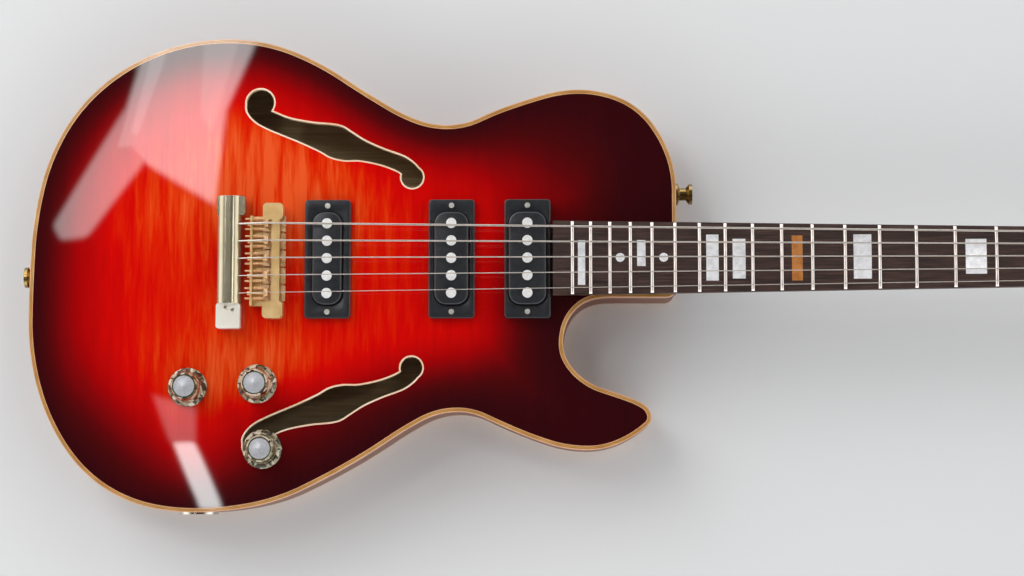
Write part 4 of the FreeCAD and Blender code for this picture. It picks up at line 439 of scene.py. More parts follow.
net_spots, _, net_faces, *_ = delaunay_2d_cdt(
    flat_spots, flat_edges, [], TRIANGLES_TO_THE_HULL, MERGE_WITHIN)
middles = np.array([tuple(sum((net_spots[i] for i in f), Vector((0, 0))) / 3)
                    for f in net_faces])
wood_here = inside([plate_edge], middles) & ~inside(cuts, middles)
open_here, wide_here = inside(open_loops, middles), inside(wide_loops, middles)


def plate(name, chosen, slot, replaced, material):
    """A closed plate that follows the arch, over the chosen triangles of the flat net."""
    picked = [net_faces[i] for i in np.flatnonzero(chosen)]
    numbers = {v: n for n, v in enumerate(sorted({v for f in picked for v in f}))}
    count = len(numbers)
    spots = []
    for drop in (0.0, TOP_THICKNESS):
        for v in numbers:
            x, y = net_spots[v]
            spots.append(Vector((x, y, top_height(x, y) - drop)))
    faces, sides = [], set()
    for face in picked:
        a, b, c = (numbers[v] for v in face)
        faces += [(a, b, c), (a + count, c + count, b + count)]
        sides |= {(a, b), (b, c), (c, a)}
    faces += [(b, a, a + count, b + count) for a, b in sides if (b, a) not in sides]
    return mesh_piece(name, spots, faces, "guitar", slot, replaced, [material])


plate("sound_hole_binding", wood_here & wide_here & ~open_here, "cream_binding",
      ["bindings"], hole_celluloid)

# Burst lacquer: sprayed on the top plate in clear red over the bare maple, dark round the
# edge and wider round the neck and the treble waist, then levelled and polished.

# Nitrocellulose lacquer in many coats: deep red with sharp, mirror like reflections. Where it
# is thin, the flame of the maple shows as stripes across the body, some 7 mm apart. The fine
# threads between them are drawn 1.25 mm wide, coarser than real, so that they show.
FLAME, THREAD = (6.67, 62.5, 62.5), (1.25, 20.0, 20.0)
FLAME_DEPTH, THREAD_DEPTH = 0.5, 0.16
burst_lacquer, tree = new_tree("red_nitrocellulose_burst_on_flamed_maple")
spot = add(tree, "TexCoord")
sprayed = add(tree, "Attribute", {"attribute_name": "burst"})
broad = add(tree, "Mapping", {"Scale": to_the_metre(FLAME)}, {"Vector": spot.outputs["Object"]})
stripes = add(tree, "TexNoise", {"Scale": 1.0, "Detail": 3.0, "Roughness": 0.6,
                                 "Distortion": 0.4}, {"Vector": broad.outputs[0]})
fine = add(tree, "Mapping", {"Scale": to_the_metre(THREAD)}, {"Vector": spot.outputs["Object"]})
threads = add(tree, "TexNoise", {"Scale": 1.0, "Detail": 4.0}, {"Vector": fine.outputs[0]})
figure = add(tree, "Math", {"operation": "MULTIPLY_ADD", 1: FLAME_DEPTH, 2: -FLAME_DEPTH / 2},
             {0: stripes.outputs["Fac"]})
pores = add(tree, "Math", {"operation": "MULTIPLY_ADD", 1: THREAD_DEPTH, 2: -THREAD_DEPTH / 2},
            {0: threads.outputs["Fac"]})
both = add(tree, "Math", {"operation": "ADD"}, {0: figure.outputs[0], 1: pores.outputs[0]})
shows = add(tree, "MapRange", {"From Min": 0.6, "From Max": 1.0, "To Min": 0.12,
                               "To Max": 1.0}, {"Value": sprayed.outputs["Fac"]})
shown = add(tree, "Math", {"operation": "MULTIPLY"}, {0: both.outputs[0], 1: shows.outputs[0]})
level = add(tree, "Math", {"operation": "ADD"}, {0: shown.outputs[0], 1: sprayed.outputs["Fac"]})
tone = add(tree, "ValToRGB", None, {"Fac": level.outputs[0]}, [
    (0.0, "#1C0406"), (0.12, "#33060B"), (0.22, "#460608"), (0.34, "#5D0408"),
    (0.46, "#7C0407"), (0.58, "#9A0104"), (0.70, "#B60404"), (0.80, "#CA0502"),
    (0.87, "#D21D01"), (0.93, "#D93A0C"), (1.0, "#E45524")])
coat = add(tree, "BsdfPrincipled",
           {"Roughness": 0.5, "Coat Weight": 1.0, "Coat Roughness": 0.025, "IOR": 1.5,
            "Specular IOR Level": 0.0},
           {"Base Color": tone.outputs["Color"]})
add(tree, "OutputMaterial", None, {"Surface": coat.outputs[0]})

# How clear the red is, by the distance from the edge. The clear part narrows towards the
# neck, at the waist, the tail and the treble corner, and it glows at two places.
CLEAR_BY_EDGE = [(0.000, 0.08), (0.004, 0.13), (0.009, 0.22), (0.015, 0.38), (0.022, 0.51),
                 (0.027, 0.60), (0.036, 0.69), (0.046, 0.77), (0.060, 0.80)]
REACH_BY_X = [(0.100, 1.0), (0.126, 0.87), (0.145, 0.58), (0.163, 0.42), (0.182, 0.27),
              (0.200, 0.20), (0.219, 0.12), (0.240, 0.08)]
WAIST_DARKER, WAIST_X, WAIST_Y, WAIST_FADE_X, WAIST_FADE_Y = 0.58, -0.050, -0.045, 0.055, 0.050
TAIL_DARKER, TAIL_X, TAIL_FADE = 0.15, -0.060, 0.050
CORNER_DARKER, CORNER_X, CORNER_Y, CORNER_REACH = 0.42, -0.090, -0.120, 0.055
GLOWS = [(0.002, 0.045, 0.075, 0.055, 0.19), (-0.015, -0.068, 0.050, 0.035, 0.16)]
GLOW_FADE = 0.05
top = plate("top_plate_burst", wood_here & ~wide_here, "burst_lacquer", ["top_plate"],
            burst_lacquer)
places = np.array([tuple(v.co) for v in top.data.vertices])
x, y = places[:, 0], places[:, 1]
waist = (WAIST_DARKER * np.clip((x - WAIST_X) / WAIST_FADE_X, 0, 1)
         * np.clip((WAIST_Y - y) / WAIST_FADE_Y, 0, 1))
tail = TAIL_DARKER * np.clip((TAIL_X - x) / TAIL_FADE, 0, 1)
corner = CORNER_DARKER * np.exp(
    -((x - CORNER_X) / CORNER_REACH) ** 2 - ((y - CORNER_Y) / CORNER_REACH) ** 2)
reach = nearest(places[:, :2], edge_line) * np.interp(x, *zip(*REACH_BY_X))
reach *= (1 - waist) * (1 - tail - corner)
cleared = np.interp(reach, *zip(*CLEAR_BY_EDGE))
for middle_x, middle_y, long_x, long_y, height in GLOWS:
    cleared += height * np.clip(reach / GLOW_FADE, 0, 1) * np.exp(
        -((x - middle_x) / long_x) ** 2 - ((y - middle_y) / long_y) ** 2)
burst = top.data.attributes.new("burst", "FLOAT", "POINT")
burst.data.foreach_set("value", cleared)

# Neck: one piece of mahogany with its heel, tenon and head, stained dark and lacquered.
# The tenon is glued into the pocket in the body.

# Dark stain and gloss lacquer on mahogany: chocolate brown with long pores, drawn 1.1 mm
# wide, coarser than real, so that they show.
dress(["neck"], finish(
    "dark_lacquer_on_mahogany", (28.6, 1.11, 1.11), [(0.3, "#2B130D"), (0.7, "#4C2416")],
    {"Roughness": 0.4, "Coat Weight": 0.8, "Coat Roughness": 0.08, "IOR": 1.5}))

# Truss rod: a steel rod in a channel along the neck, under the board. Its nut sits at the
# head, under a plastic cover that three screws hold.

# Zinc plated steel: mid grey and metallic, its gloss uneven over 1.4 mm.
steel = finish("zinc_plated_steel", 1.43, [(0.3, "#9C9A96"), (0.7, "#B4B2AE")],
               {"Metallic": 1.0}, (0.25, 0.42))
dress(["truss_rod"], steel)

# Black ABS, moulded and buffed: a cool near black with a soft, slightly cloudy gloss. The
# clouds are 3.3 mm wide.
black_abs = finish("buffed_black_abs", 3.33, [(0.3, "#1E1F22"), (0.7, "#292A2E")],
                   {"IOR": 1.52}, (0.27, 0.32))
dress(["truss_rod_cover"], black_abs)

# Fingerboard: rosewood, planed to its camber, slotted for the frets and oiled. It is glued
# along the neck.

# Oiled rosewood: dark brown and nearly dull. Its pores run lengthwise, drawn 1.1 mm wide and
# 22 mm long, coarser than real, so that they show.
dress(["fingerboard"], finish(
    "oiled_rosewood", (22.2, 1.11, 1.11),
    [(0.32, "#211411"), (0.55, "#3B2721"), (0.75, "#523930")], {"IOR": 1.48}, (0.38, 0.5)))

# Frets: nickel silver wire with a half round crown, pressed into slots in the board. Its
# ends are filed to a slope, and its crown is polished bright.
STRING_LENGTH, SADDLE_LINE, FRET_COUNT, FRETS_TO_OCTAVE = 0.642, 0.002, 21, 12
BOARD_START, BOARD_END, BOARD_TOP, CAMBER = 0.1807, 0.644, 0.061, 0.305
BOARD_HALF_START, BOARD_HALF_END = 0.0234, 0.0161
FRET_WIDTH, FRET_HEIGHT, FRET_BEVEL = 0.0021, 0.0011, 0.0009
FRET_INSET, FRET_SINK, FRET_END_RISE = 0.0004, 0.0003, 0.15
FRET_SHARES = (-1.0, -0.98, -0.94, -0.6, -0.2, 0.2, 0.6, 0.94, 0.98, 1.0)
CROWN_STEPS = 8


def board_half(x):
    """Half the board's width at a place along it."""
    share = (x - BOARD_START) / (BOARD_END - BOARD_START)
    return BOARD_HALF_START + (BOARD_HALF_END - BOARD_HALF_START) * share


def fret(number):
    """One fret across the board, its crown sloping down at both ends."""
    x = SADDLE_LINE + STRING_LENGTH * 2 ** (-number / FRETS_TO_OCTAVE)
    half = board_half(x) - FRET_INSET
    rings = []
    for share in FRET_SHARES:
        y = half * share
        low = BOARD_TOP - y * y / (2 * CAMBER)
        rise = min(1.0, FRET_END_RISE + (half - abs(y)) / FRET_BEVEL)
        ring = [Vector((x - FRET_WIDTH / 2, y, low - FRET_SINK)),
                Vector((x + FRET_WIDTH / 2, y, low - FRET_SINK))]
        for i in range(CROWN_STEPS + 1):
            angle = math.pi * i / CROWN_STEPS
            ring.append(Vector((x + FRET_WIDTH / 2 * math.cos(angle), y,
                                low + FRET_HEIGHT * rise * math.sin(angle))))
        rings.append(ring)
    return loft(rings)


def gather(shapes):
    """Several shapes as one, the points of each after those of the one before."""
    all_spots, all_faces = [], []
    for spots, faces in shapes:
        all_faces += [tuple(len(all_spots) + i for i in face) for face in faces]
        all_spots += spots
    return all_spots, all_faces


# Nickel silver, filed and polished: almost white, with a soft metal shine and clouds of 8 mm.
nickel_silver = finish("polished_nickel_silver", 8.33,
                       [(0.3, "#F0E4DC"), (0.7, "#FBF2EC")], {"Metallic": 0.9}, (0.3, 0.36))
crowns = gather(fret(number) for number in range(1, FRET_COUNT + 1))
mesh_piece("fret_crowns", *crowns, "guitar", "nickel_silver", ["frets"], [nickel_silver])

# Markers: mother of pearl celluloid let into the board and sanded flush, in blocks, bars
# and dots, and one amber bar at the octave.

# Pearl and amber celluloid, sanded and buffed: a smooth shine over faint clouds of 3 mm.
INLAY_CLOUD = 3.125
INLAY = {"IOR": 1.5, "Coat Weight": 0.5, "Roughness": 0.25}
dress(["fret_markers"], finish("pearl_celluloid", INLAY_CLOUD,
                               [(0.35, "#CFCFD2"), (0.6, "#E4E4E6")], INLAY))
dress(["octave_marker"], finish("amber_celluloid", INLAY_CLOUD,
                                [(0.35, "#A5642A"), (0.6, "#B9783A")], INLAY))

# Nut: a block of bone, sawn, slotted for the five strings and polished. It is glued across
# the end of the board.

# Polished bone: creamy white and smooth, faintly clouded over 2.5 mm.
dress(["nut"], finish("polished_bone", 2.5, [(0.3, "#D8CDB4"), (0.7, "#EEE6D2")],
                      {"Roughness": 0.3, "IOR": 1.55}))

# Tuners: nickel plated brass and steel, screwed to the back of the head, their bushings
# pressed in from the front. Each button drives its post through a worm.
STRING_NUMBERS = range(1, 6)

# Nickel plate, polished and then handled: a warm grey mirror, dulled in clouds of 2 mm.
nickel = finish("nickel_plate", 2.0, [(0.3, "#C8C2B8"), (0.7, "#DCD8D0")],
                {"Metallic": 1.0}, (0.14, 0.28))
dress(["tuner_post_%d" % i for i in STRING_NUMBERS], nickel)
dress(["tuner_button_%d" % i for i in STRING_NUMBERS], nickel)
dress(["tuner_housings", "tuner_bushings"], nickel)

# Small screws: steel, nickel plated, all of one size. Six hold the pickup rings, three the
# truss rod cover and ten the tuner housings.

# Polished nickel plate: brighter and whiter than on the tuners, with clouds of 2 mm.
dress(["small_screws"], finish(
    "polished_nickel_plate", 2.0, [(0.3, "#DAD6CE"), (0.7, "#F2EEE6")],
    {"Metallic": 0.8}, (0.3, 0.4)))

# Tailpiece: cast zinc, plated in pale champagne gold. Its round bar and the lug at the bass
# end are polished, and the flat pad at the treble end is blasted. It hangs on two slotted
# studs in brass inserts in the block.
PAD_LINE = -0.0282

# Champagne gold plate: a pale, faintly green gold, mirror like on the bar, and white and matt on
# the pad, where the white is partly painted highlight for the light the flat pad catches. Its
# clouds are 25 mm wide.
PLATE_CLOUD = 25.0
champagne, tree = new_tree("champagne_gold_plate")
spot = add(tree, "TexCoord")
cloud = add(tree, "TexNoise", {"Scale": MM_PER_METRE / PLATE_CLOUD, "Detail": 3.0},
            {"Vector": spot.outputs["Object"]})
parts = add(tree, "SeparateXYZ", None, {0: spot.outputs["Object"]})
pad = add(tree, "Math", {"operation": "LESS_THAN", 1: PAD_LINE}, {0: parts.outputs["Y"]})
polish = add(tree, "MapRange", {"To Min": 0.2, "To Max": 0.55}, {"Value": pad.outputs[0]})
bar = add(tree, "ValToRGB", None, {"Fac": cloud.outputs["Fac"]},
          [(0.3, "#B6AC90"), (0.7, "#C8BEA4")])
# Partly painted highlight: the pad is given a whiter colour than the bar for the light it catches.
blasted_and_painted_highlight = add(tree, "ValToRGB", None, {"Fac": cloud.outputs["Fac"]},
              [(0.3, "#E0DACC"), (0.7, "#F0ECE2")])
tint = add(tree, "MixRGB", None, {0: pad.outputs[0], 1: bar.outputs["Color"],
                                  2: blasted_and_painted_highlight.outputs["Color"]})
plating = add(tree, "BsdfPrincipled", {"Metallic": 0.8},
              {"Base Color": tint.outputs[0], "Roughness": polish.outputs[0]})
add(tree, "OutputMaterial", None, {"Surface": plating.outputs[0]})
dress(["tailpiece", "tailpiece_studs"], champagne)

# Bridge: a plated plate with end pads and a cross bar on two posts, in a yellower gold.
# Saddles slide on it, each held back by a pair of springs on guide rods.

# Gold plate over a brushed casting: warm yellow with a soft shine, clouded over 7 mm.
satin_gold = finish("satin_gold_plate", 6.67, [(0.3, "#DCB476"), (0.7, "#EAC890")],
                    {"Metallic": 0.8}, (0.36, 0.5))
dress(["bridge_posts", "bridge_frame", "stud_bushings"], satin_gold)

# Gold plate with copper in it, over polished steel: redder and brighter, clouded over 5 mm.
rose_gold = finish("rose_gold_plate", 5.0, [(0.3, "#E0B07C"), (0.7, "#F4CFA2")],
                   {"Metallic": 0.85}, (0.26, 0.38))
dress(["saddle_%d" % i for i in STRING_NUMBERS] + ["saddle_screws"], rose_gold)

# Saddle springs: gold plated music wire, wound in five turns and threaded over the guide
# rods between the rail and the saddle. Each pair gives way when its saddle slides.
SPRING_WIRE, WIRE_SIDES, SPRING_TURNS, TURN_STEPS = 0.00025, 8, 5, 20
spring_low, spring_high = [Vector(corner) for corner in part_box("saddle_springs")]
coil_reach = (spring_high.z - spring_low.z) / 2
spring_level = (spring_high.z + spring_low.z) / 2
spring_rear, spring_front = spring_low.x + SPRING_WIRE, spring_high.x - SPRING_WIRE
saddle_lines = [sum(corner[1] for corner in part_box("saddle_%d" % i)) / 2
                for i in STRING_NUMBERS]
guide_spread = spring_high.y - coil_reach - max(saddle_lines)


def coil(y):
    """One spring, its wire turning on from the rail to the saddle."""
    rings = []
    for step in range(SPRING_TURNS * TURN_STEPS + 1):
        turned = 2 * math.pi * step / TURN_STEPS
        share = step / (SPRING_TURNS * TURN_STEPS)
        x = spring_rear + (spring_front - spring_rear) * share
        ring = []
        for side in range(WIRE_SIDES):
            around = 2 * math.pi * side / WIRE_SIDES
            out = coil_reach - SPRING_WIRE + SPRING_WIRE * math.cos(around)
            ring.append(Vector((x + SPRING_WIRE * math.sin(around), y + out * math.cos(turned),
                                spring_level + out * math.sin(turned))))
        rings.append(ring)
    return loft(rings)


for number, line in zip(STRING_NUMBERS, saddle_lines):
    coils = gather(coil(line + guide_spread * side) for side in (-1, 1))
    pair = mesh_piece("saddle_%d_springs" % number, *coils, None, "spring_steel",
                      ["saddle_springs"], [rose_gold])
    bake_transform(pair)

# Pickups: rings and covers moulded in black ABS, buffed; nickel plated pole screws over
# coils in black tape, on brass plates and foam.
RING_WIDTH, RING_LENGTH, RING_CORNER, RING_TOP = 0.0288, 0.0746, 0.0022, 0.0575
COVER_LENGTH, COVER_CORNER, COVER_TOP = 0.0582, 0.0075, 0.0610
COVER_WIDTHS = [0.0186, 0.0214, 0.0236]
COVER_GAP, RING_EDGE, COVER_EDGE, INNER_EDGE = 0.0004, 0.0007, 0.0012, 0.0003
COVER_SINK, RING_SINK, CORNER_STEPS = 0.004, 0.0003, 8


def rounded_box(middle, width, length, corner, inset, level):
    """A level rectangle with round corners, made smaller all round by the inset."""
    ring = []
    for i, (sx, sy) in enumerate(((1, 1), (-1, 1), (-1, -1), (1, -1))):
        for j in range(CORNER_STEPS + 1):
            angle = math.pi / 2 * (i + j / CORNER_STEPS)
            ring.append(Vector((
                middle + sx * (width / 2 - corner) + (corner - inset) * math.cos(angle),
                sy * (length / 2 - corner) + (corner - inset) * math.sin(angle), level)))
    return ring


def turned_edge(edge, top, steps=4):
    """Insets and levels over a rounded edge, from its foot up to the flat top."""
    return [(edge - edge * math.cos(math.pi / 2 * i / steps),
             top - edge + edge * math.sin(math.pi / 2 * i / steps)) for i in range(steps + 1)]


for name, middle, width in zip(("bridge", "middle", "neck"), PICKUP_MIDDLES, COVER_WIDTHS):
    cover_size = (middle, width, COVER_LENGTH, COVER_CORNER)
    rows = [(0.0, RING_TOP - COVER_SINK)] + turned_edge(COVER_EDGE, COVER_TOP)
    mesh_piece(name + "_pickup_cover", *loft([rounded_box(*cover_size, *row) for row in rows]),
               "guitar", "cover_plastic", ["pickup_covers"], [black_abs])
    ring_size = (middle, RING_WIDTH, RING_LENGTH, RING_CORNER)
    foot = min(top_height(middle + sx * RING_WIDTH / 2, sy * RING_LENGTH / 2)
               for sx in (-1, 1) for sy in (-1, 1)) - RING_SINK
    rings = [rounded_box(*ring_size, *row)
             for row in [(0.0, foot)] + turned_edge(RING_EDGE, RING_TOP)]
    rings += [rounded_box(*cover_size, -COVER_GAP - inset, level)
              for inset, level in reversed([(0.0, foot)] + [
                  (INNER_EDGE - INNER_EDGE * math.sin(a),
                   RING_TOP - INNER_EDGE + INNER_EDGE * math.cos(a))
                  for a in (math.pi / 2, math.pi / 4, 0.0)])]
    mesh_piece(name + "_pickup_ring", *loft(rings, True), "guitar", "ring_plastic",
               ["pickup_rings"], [black_abs])
dress(["pickup_coils"], black_abs)

# Nickel plate over blasted steel: white and even, with a matt shine over grains of 1.7 mm.
dress(["pole_pieces"], finish(
    "blasted_nickel", 1.667, [(0.3, "#E4E3E1"), (0.7, "#F8F7F5")],
    {"Metallic": 0.5}, (0.45, 0.55)))
dress(["pickup_magnets"], steel)
dress(["pickup_plates"], satin_gold)

# Foam rubber, black and dull, with cells of 0.67 mm.
dress(["pickup_foam"], finish("black_foam_rubber", 0.667,
                              [(0.3, "#0E0E0E"), (0.7, "#1C1C1C")], {"Roughness": 0.95}))

# Knobs: clear amber acrylic moulded over a painted core with a grey cap in the crown. They
# press on the shafts of the controls. Short dark dashes are printed round the skirt.

# Amber acrylic, moulded clear and glossy like glass. Its light and dark flakes are painted
# reflections: what its ribs reflect and break up is drawn into its colour as cells of 3 mm.
FLAKE = 3.03
amber_acrylic_painted_flakes, tree = new_tree("amber_acrylic_painted_flakes")
spot = add(tree, "TexCoord")
painted_flake_reflections = add(tree, "TexVoronoi", {"Scale": MM_PER_METRE / FLAKE}, {"Vector": spot.outputs["Object"]})
# Painted reflections: light and dark flakes of colour stand in for what the knob's ribs reflect.
tint = add(tree, "ValToRGB", None, {"Fac": painted_flake_reflections.outputs["Color"]},
           [(0.2, "#342F1C"), (0.45, "#857B54"), (0.8, "#EDE5CB")])
glass = add(tree, "BsdfPrincipled",
            {"Roughness": 0.08, "IOR": 1.49, "Coat Weight": 0.6, "Transmission Weight": 0.35},
            {"Base Color": tint.outputs["Color"]})
add(tree, "OutputMaterial", None, {"Surface": glass.outputs[0]})

# Gold paint, dark with age: brown with a weak metal sheen, speckled over 2 mm.
core_paint = finish("dark_gold_paint", 2.0, [(0.35, "#2C2818"), (0.65, "#5C5434")],
                    {"Metallic": 0.3}, (0.3, 0.45))

# Aluminium, turned and satin anodised: pale grey with a soft sheen. The turning marks are
# drawn as grains of 1.1 mm, coarser than real.
cap_metal = finish("satin_grey_aluminium", 1.11, [(0.3, "#A9AAB0"), (0.7, "#C4C4C8")],
                   {"Metallic": 0.5}, (0.4, 0.5))

# Printing ink, rubbed: flat brown black, uneven over 2.5 mm.
dash_paint = finish("dark_print", 2.5, [(0.3, "#15120C"), (0.7, "#241E14")],
                    {"Roughness": 0.5})
KNOB_BODIES = ["tone", "volume", "balance"]
KNOB_LIFT = 0.0013
SHELL_LINE = [(0.0122, 0.0), (0.0122, 0.0012), (0.0117, 0.0017), (0.0106, 0.0028),
              (0.0097, 0.0042), (0.0094, 0.0058), (0.0089, 0.0100), (0.0083, 0.0140),
              (0.0081, 0.0149), (0.0077, 0.0154), (0.0073, 0.0154), (0.0072, 0.0148)]
CORE_LINE = [(0.0110, 0.0003), (0.0104, 0.0011), (0.0090, 0.0028), (0.0082, 0.0050),
             (0.0076, 0.0100), (0.0073, 0.0150), (0.0066, 0.0150)]
CAP_LINE = [(0.0067, 0.0140), (0.0067, 0.0148), (0.0064, 0.0151), (0.0014, 0.0151),
            (0.0010, 0.01535), (0.0004, 0.0154)]
DASH_ENDS = [(0.0116, 0.0017), (0.0100, 0.0036)]
DASH_HALF_WIDTH, DASH_RISE = 0.0005, 0.0004
DASH_MIDDLE, DASH_TURN, DASH_SPACING = 90, 150, 30


def lathe(line, centre, foot, sides=48):
    """A turned shape over a line of radii and heights, closed flat at both ends."""
    return loft([[Vector((*spot, foot + z)) for spot in circle(centre, r, sides)]
                 for r, z in line])


def dash(degrees, x, y, foot):
    """One dash on the skirt of a knob, as a thin raised bar."""
    angle = math.radians(DASH_MIDDLE + degrees)
    out = Vector((math.cos(angle), math.sin(angle)))
    across = Vector((-out.y, out.x)) * DASH_HALF_WIDTH
    rings = []
    for r, z in DASH_ENDS:
        corners = [out * r + across, out * r - across]
        rings.append([Vector((x + c.x, y + c.y, foot + z + rise))
                      for rise, row in ((0.0, corners), (DASH_RISE, corners[::-1]))
                      for c in row])
    return loft(rings)


for name, (x, y) in zip(KNOB_BODIES, KNOB_SPOTS):
    foot = top_height(x, y) + KNOB_LIFT
    body = name + "_control"
    mesh_piece(name + "_knob_shell", *lathe(SHELL_LINE, (x, y), foot), body, "amber_knob",
               [name + "_knob"], [amber_acrylic_painted_flakes], sharp=50)
    mesh_piece(name + "_knob_core", *lathe(CORE_LINE, (x, y), foot), body, "amber_knob",
               [name + "_knob"], [core_paint])
    mesh_piece(name + "_knob_cap", *lathe(CAP_LINE, (x, y), foot), body, "aged_brass",
               [name + "_knob"], [cap_metal])
    dashes = gather(dash(degrees, x, y, foot)
                    for degrees in range(-DASH_TURN, DASH_TURN + 1, DASH_SPACING))
    mesh_piece(name + "_knob_dashes", *dashes, body, "amber_knob", [name + "_knob"],
               [dash_paint])

# Controls: three potentiometers in pressed steel cans, inside the body under the knobs.
# Each is held from above by a nickel plated washer and nut.
dress(["potentiometers"], steel)
dress(["pot_nuts"], nickel)

# Output jack: a socket for the plug of a lead, turned and nickel plated. It is held by its
# nut in a metal cup, which is pressed into the side of the body.
dress(["jack_cup", "output_jack"], nickel)

# Strap buttons: turned brass, gold plated, one at the tail and one at the shoulder. Each is
# held by a wood screw.

# Gold plate on turned brass: a dark yellow mirror, clouded over 8 mm.
dress(["strap_buttons"], finish("gold_plated_brass", 8.33,
                                [(0.3, "#8E7444"), (0.7, "#B59C68")],
                                {"Metallic": 1.0}, (0.18, 0.3)))
dress(["strap_screws"], steel)

# Strings: five steel wires, nickel plated and drawn. Each is held by a ball at its end in
# the tailpiece, and is wound round its post at the head.

# Nickel plated steel wire, drawn: pale, with bright lines along it, clouded over 1.1 mm.
dress(["strings"], finish("nickel_steel_wire", 1.11,
                          [(0.3, "#B4ACA4"), (0.7, "#CCC4BC")], {"Metallic": 1.0}, (0.3, 0.42)))

# Table top: a wide pale board on which the guitar lies. It isn't part of the guitar, and
# stands only in the picture.
FLOOR_REACH = 4
floor_mesh = bpy.data.meshes.new("table_top")
floor_mesh.from_pydata([(FLOOR_REACH * x, FLOOR_REACH * y, 0)
                        for x, y in ((-1, -1), (1, -1), (1, 1), (-1, 1))], [], [(0, 1, 2, 3)])
floor = bpy.data.objects.new("table_top", floor_mesh)
bpy.context.collection.objects.link(floor)

# Matt emulsion paint, rolled: pale grey, dull and even, with clouds of two thirds of a metre.
floor_mesh.materials.append(finish(
    "pale_grey_table", 667.0, [(0.3, "#D8D9DA"), (0.7, "#DBDCDD")],
    {"Roughness": 0.9, "Specular IOR Level": 0.1}))

# Light: pale walls under a dark ceiling, a broad soft window high on the left that makes
# the shadow, windows overhead that show as reflections in the lacquer, and a narrow strip
# over the neck that draws a bright line along the tailpiece's bar.
world = bpy.data.worlds.new("pale_room")
bpy.context.scene.world = world
world.use_nodes = True
tree = world.node_tree
tree.nodes.clear()
way = add(tree, "TexCoord")
parts = add(tree, "SeparateXYZ", None, {0: way.outputs["Generated"]})
walls = add(tree, "ValToRGB", None, {"Fac": parts.outputs["Z"]},
            [(0.0, "#F4F4F4"), (0.55, "#E0E0E0"), (0.80, "#3A3A3A"), (0.90, "#212121")])
sky = add(tree, "Background", {"Strength": 2.2}, {"Color": walls.outputs["Color"]})
add(tree, "OutputWorld", None, {"Surface": sky.outputs[0]})


def lamp(name, place, aim, size, power):
    """A rectangular soft lamp at a place, that looks at another."""
    data = bpy.data.lights.new(name, "AREA")
    data.shape = "RECTANGLE"
    data.size, data.size_y = size
    data.energy = power
    light = bpy.data.objects.new(name, data)
    look = (Vector(aim) - Vector(place)).to_track_quat("-Z", "Y").to_matrix().to_4x4()
    light.matrix_world = Matrix.Translation(place) @ look
    bpy.context.collection.objects.link(light)
    return data


WINDOW_LEVEL = 1.6


def window(name, panes, soft):
    """A lamp looking down that shines only inside its panes. Each is a brightness and
    corners that go round leftwards, with an edge that fades over the soft width."""
    corners = [Vector(c) for _, pane in panes for c in pane]
    low = Vector((min(c.x for c in corners), min(c.y for c in corners)))
    size = Vector((max(c.x for c in corners), max(c.y for c in corners))) - low
    middle = (*(low + size / 2), WINDOW_LEVEL)
    power_for_brightness_of_one = math.pi * size.x * size.y
    data = lamp(name, middle, (*middle[:2], 0.0), size, power_for_brightness_of_one)
    data.use_nodes = True
    tree = data.node_tree
    tree.nodes.clear()
    spot = add(tree, "NewGeometry")
    shine = None
    for brightness, pane in panes:
        lit = None
        for a, b in zip(pane, pane[1:] + pane[:1]):
            along = (Vector(b) - Vector(a)).normalized()
            inwards = Vector((-along.y, along.x))
            edge = inwards.dot(Vector(a) - low)
            reach = add(tree, "VectorMath", {"operation": "DOT_PRODUCT",
                                             1: (inwards.x * size.x, inwards.y * size.y, 0)},
                        {0: spot.outputs["Parametric"]})
            fade = add(tree, "MapRange", {"interpolation_type": "SMOOTHSTEP",
                                          "From Min": edge, "From Max": edge + soft,
                                          "To Max": 1.0 if lit else brightness},
                       {"Value": reach.outputs["Value"]})
            lit = fade.outputs[0] if lit is None else add(
                tree, "Math", {"operation": "MULTIPLY"}, {0: lit, 1: fade.outputs[0]}).outputs[0]
        shine = lit if shine is None else add(
            tree, "Math", {"operation": "MAXIMUM"}, {0: shine, 1: lit}).outputs[0]
    glow = add(tree, "Emission", None, {"Strength": shine})
    add(tree, "OutputLight", None, {"Surface": glow.outputs[0]})


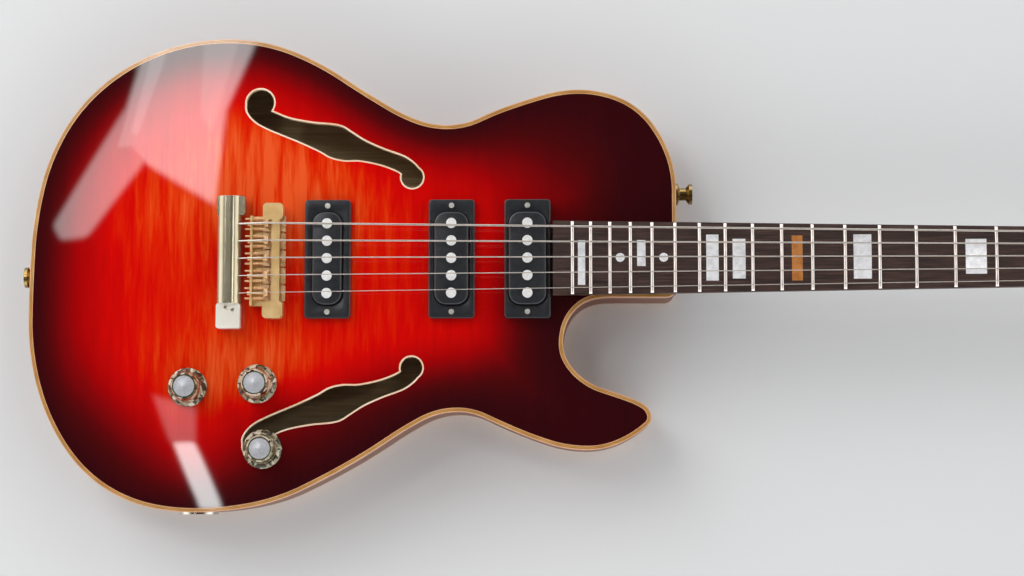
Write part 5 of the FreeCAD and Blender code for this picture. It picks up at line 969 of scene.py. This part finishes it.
lamp("broad_window", place=(-1.9, 2.0, 2.2), aim=(0.15, 0.0, 0.0), size=(2.2, 2.2), power=44)
lamp("strip_over_the_neck", place=(0.82, 0.195, 1.8), aim=(-0.06, 0.195, 0.05),
     size=(0.15, 0.36), power=1.3)
window("window_overhead", soft=0.02, panes=[
    (8.0, [(-0.545, 0.72), (-0.620, 0.42), (-0.380, 0.44), (-0.270, 0.72)]),
    (7.8, [(-0.560, 0.60), (-0.600, 0.45), (-0.547, 0.395), (-0.372, 0.290), (-0.345, 0.60)]),
    (5.6, [(-0.540, 0.62), (-0.750, 0.272), (-0.725, 0.230), (-0.655, 0.235), (-0.450, 0.50)]),
    (10.0, [(-0.535, 0.72), (-0.590, 0.46), (-0.545, 0.44), (-0.460, 0.72)]),
    (9.4, [(-0.435, 0.72), (-0.435, 0.50), (-0.385, 0.42), (-0.310, 0.72)]),
])
window("window_by_the_tail", soft=0.018, panes=[
    (15.0, [(-0.475, -0.182), (-0.448, -0.255), (-0.410, -0.335), (-0.345, -0.335),
            (-0.383, -0.235), (-0.412, -0.180)]),
    (2.2, [(-0.520, -0.080), (-0.475, -0.200), (-0.405, -0.200), (-0.405, -0.110)]),
])

# Camera: almost straight above and a little towards the treble side, as for the photograph.
# Its view is as wide as the stretch of strings and body that the photograph shows.
SENSOR_WIDTH, VIEW_WIDTH = 36.0, 0.636
eye = Vector((0.190, -0.161, 1.464))
aim = Vector((0.1553, -0.0193, 0.064))
camera_data = bpy.data.cameras.new("camera")
camera_data.sensor_width = SENSOR_WIDTH
camera_data.lens = SENSOR_WIDTH * (eye - aim).length / VIEW_WIDTH
camera = bpy.data.objects.new("camera", camera_data)
back = (eye - aim).normalized()
right = Vector((0, 1, 0)).cross(back).normalized()
up = back.cross(right)
camera.matrix_world = Matrix((
    (right.x, up.x, back.x, eye.x), (right.y, up.y, back.y, eye.y),
    (right.z, up.z, back.z, eye.z), (0, 0, 0, 1)))
bpy.context.collection.objects.link(camera)
bpy.context.scene.camera = camera
bpy.context.scene.view_settings.view_transform = "Standard"
